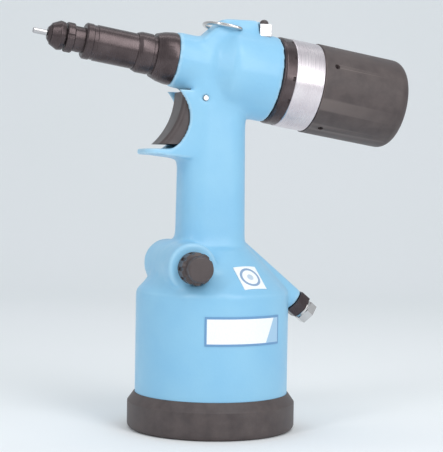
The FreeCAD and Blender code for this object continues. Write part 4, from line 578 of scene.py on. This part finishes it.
# %% Where the skin may move
def off_axis(points, normals, at):
    """How far each point is from an axis, and how squarely its surface faces away from it."""
    turn, nearest = np.array(at.inverted()), 1e-6
    local = points @ turn[:3, :3].T + turn[:3, 3]
    facing = normals @ turn[:3, :3].T
    reach = np.hypot(local[:, 0], local[:, 1])
    outward = local[:, 0] * facing[:, 0] + local[:, 1] * facing[:, 1]
    return reach, outward / np.maximum(reach, nearest)


# Each axis that was bored, and how far out the walls of its bores reach.
bored = ((UPRIGHT, mm(51)), (HEAD, mm(28.5)), (KNOB, mm(13)), (INLET, mm(7)))


def free_to_move(points, normals):
    """1 where the skin was cast, 0 where it was machined or where a part must pass."""
    facing_in, room, shelf_share = -0.2, mm(1.2), 0.4
    shelf_depth, shelf_length = mm(11), mm(14)
    free = np.ones(len(points))
    for at, bore in bored:
        reach, outward = off_axis(points, normals, at)
        free[(reach < bore) & (outward < facing_in)] = 0
    slot_low, slot_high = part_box("trigger")
    in_slot = np.abs(points[:, 1]) < slot_high.y + room
    in_slot &= (points[:, 0] < slot_high.x + 2 * room)
    in_slot &= (points[:, 2] > slot_low.z - 4 * room) & (points[:, 2] < slot_high.z + 2 * room)
    free[in_slot & (points[:, 0] > slot_low.x - 4 * room)] = 0
    shelf = (points[:, 2] < slot_low.z) & (points[:, 2] > slot_low.z - shelf_depth)
    shelf &= points[:, 0] < slot_low.x + shelf_length
    free[shelf] = shelf_share
    return free

# %% Fillets of the casting
def cast_fillets(piece, fill_rounds, ease_rounds):
    """Fill the inner corners, then ease what is left, keeping machined faces still."""
    fill_step, ease_step = 0.8, 0.5
    mesh = piece.data
    count = len(mesh.vertices)
    points, normals = np.zeros(count * 3), np.zeros(count * 3)
    mesh.vertices.foreach_get("co", points)
    mesh.vertex_normals.foreach_get("vector", normals)
    points, normals = points.reshape(-1, 3), normals.reshape(-1, 3)
    ends = np.zeros(len(mesh.edges) * 2, int)
    mesh.edges.foreach_get("vertices", ends)
    first, second = ends.reshape(-1, 2).T
    meeting = np.maximum(np.bincount(ends, minlength=count), 1)
    free = free_to_move(points, normals)

    def pull():
        total = np.stack([np.bincount(first, points[second, i], count)
                          + np.bincount(second, points[first, i], count)
                          for i in range(3)], axis=1)
        return total / meeting[:, None] - points

    for _ in range(fill_rounds):
        rise = np.maximum(np.einsum("ij,ij->i", pull(), normals), 0)
        points += normals * (fill_step * free * rise)[:, None]
    for _ in range(ease_rounds):
        points += pull() * (ease_step * free)[:, None]
    mesh.vertices.foreach_set("co", points.ravel())
    mesh.update()


casting = even_skin("body_casting", "casting_enamelled", VOXEL, finger_shelf())
cast_fillets(casting, fill_rounds=60, ease_rounds=8)
stands_for(casting, "body_casting")
print("casting skin:", len(casting.data.vertices), "points")

# %% [markdown]
# ## The floor and the lamps
# Tools are usually shown on a pale sweep of paper that rises behind them without a corner,
# under large soft lamps. Two tall narrow lamps, to the left and right of the lens and above
# it, give the turned parts their highlights, and a weak one above and behind lifts the top
# edges off the paper. A pale room fills the shadows. Narrow lamps were chosen over wide
# ones because they keep a bright highlight with less light on the paint.

# %% Paper sweep
def sweep_of_paper():
    """A pale floor that curves up into a backdrop, in one sheet, square to the camera."""
    width, depth, radius, height, towards_lens = 3.2, 1.1, 0.7, 2.4, 1.6
    cloud_size = 0.5
    away = Vector((-math.sin(camera_azimuth), math.cos(camera_azimuth), 0))
    side = Vector((away.y, -away.x, 0))
    steps = 24
    profile = [(-towards_lens, 0.0)]
    for i in range(steps + 1):
        turn = math.pi / 2 * i / steps
        profile.append((depth + radius * math.sin(turn), radius * (1 - math.cos(turn))))
    profile.append((depth + radius, height))
    sheet = bmesh.new()
    rows = [[sheet.verts.new(away * far + side * reach + Vector((0, 0, lift)))
             for reach in (-width / 2, width / 2)] for far, lift in profile]
    for near, far in zip(rows, rows[1:]):
        sheet.faces.new((near[0], near[1], far[1], far[0])).smooth = True
    mesh = bpy.data.meshes.new("paper_sweep")
    sheet.to_mesh(mesh)
    sheet.free()
    made = bpy.data.objects.new("paper_sweep", mesh)
    bpy.context.collection.objects.link(made)
    paper, tree, shader = new_finish("matt_paper", Roughness=0.95)
    where, _ = along(tree)
    cloud = add(tree, "Mix", {"Factor": drift(tree, where, cloud_size, 0, 1),
                              "A": linear("#F2F5F6"), "B": linear("#F4F6F8")},
                data_type="RGBA")
    connect(tree, shader, {"Base Color": cloud})
    mesh.materials.append(paper)
    print(f"a sheet of paper {width} m wide, rising to {height} m")
    return made


sweep_of_paper()

# %% Lamps
def lamp(name, azimuth, elevation, distance, width, height, power):
    """A soft box that looks at the tool from this direction round the camera's own."""
    turn, lift = camera_azimuth + math.radians(azimuth), math.radians(elevation)
    towards = Vector((math.sin(turn) * math.cos(lift), -math.cos(turn) * math.cos(lift),
                      math.sin(lift)))
    light = bpy.data.lights.new(name, "AREA")
    light.shape, light.size, light.size_y, light.energy = "RECTANGLE", width, height, power
    made = bpy.data.objects.new(name, light)
    bpy.context.collection.objects.link(made)
    made.location = Vector((0, 0, aim_height)) + towards * distance
    made.rotation_mode = "QUATERNION"
    made.rotation_quaternion = towards.to_track_quat("Z", "Y")
    print(f"{name}: {width} x {height} m, {power} W")


# For each lamp: degrees round and up, metres away, width and height in metres, watts.
for box in (("right_soft_box", 36, 38, 1.3, 0.4, 1.6, 7.5),
            ("left_soft_box", -38, 34, 1.3, 0.22, 1.1, 3),
            ("overhead_soft_box", 180, 75, 1.5, 1.2, 0.3, 2)):
    lamp(*box)

# %% Room light
room_colour, room_strength = linear("#E9EEF2"), 0.75
world = bpy.data.worlds.new("room_light")
bpy.context.scene.world = world
world.use_nodes = True
world.node_tree.nodes["Background"].inputs["Color"].default_value = room_colour
world.node_tree.nodes["Background"].inputs["Strength"].default_value = room_strength
print(f"room light at {room_strength}")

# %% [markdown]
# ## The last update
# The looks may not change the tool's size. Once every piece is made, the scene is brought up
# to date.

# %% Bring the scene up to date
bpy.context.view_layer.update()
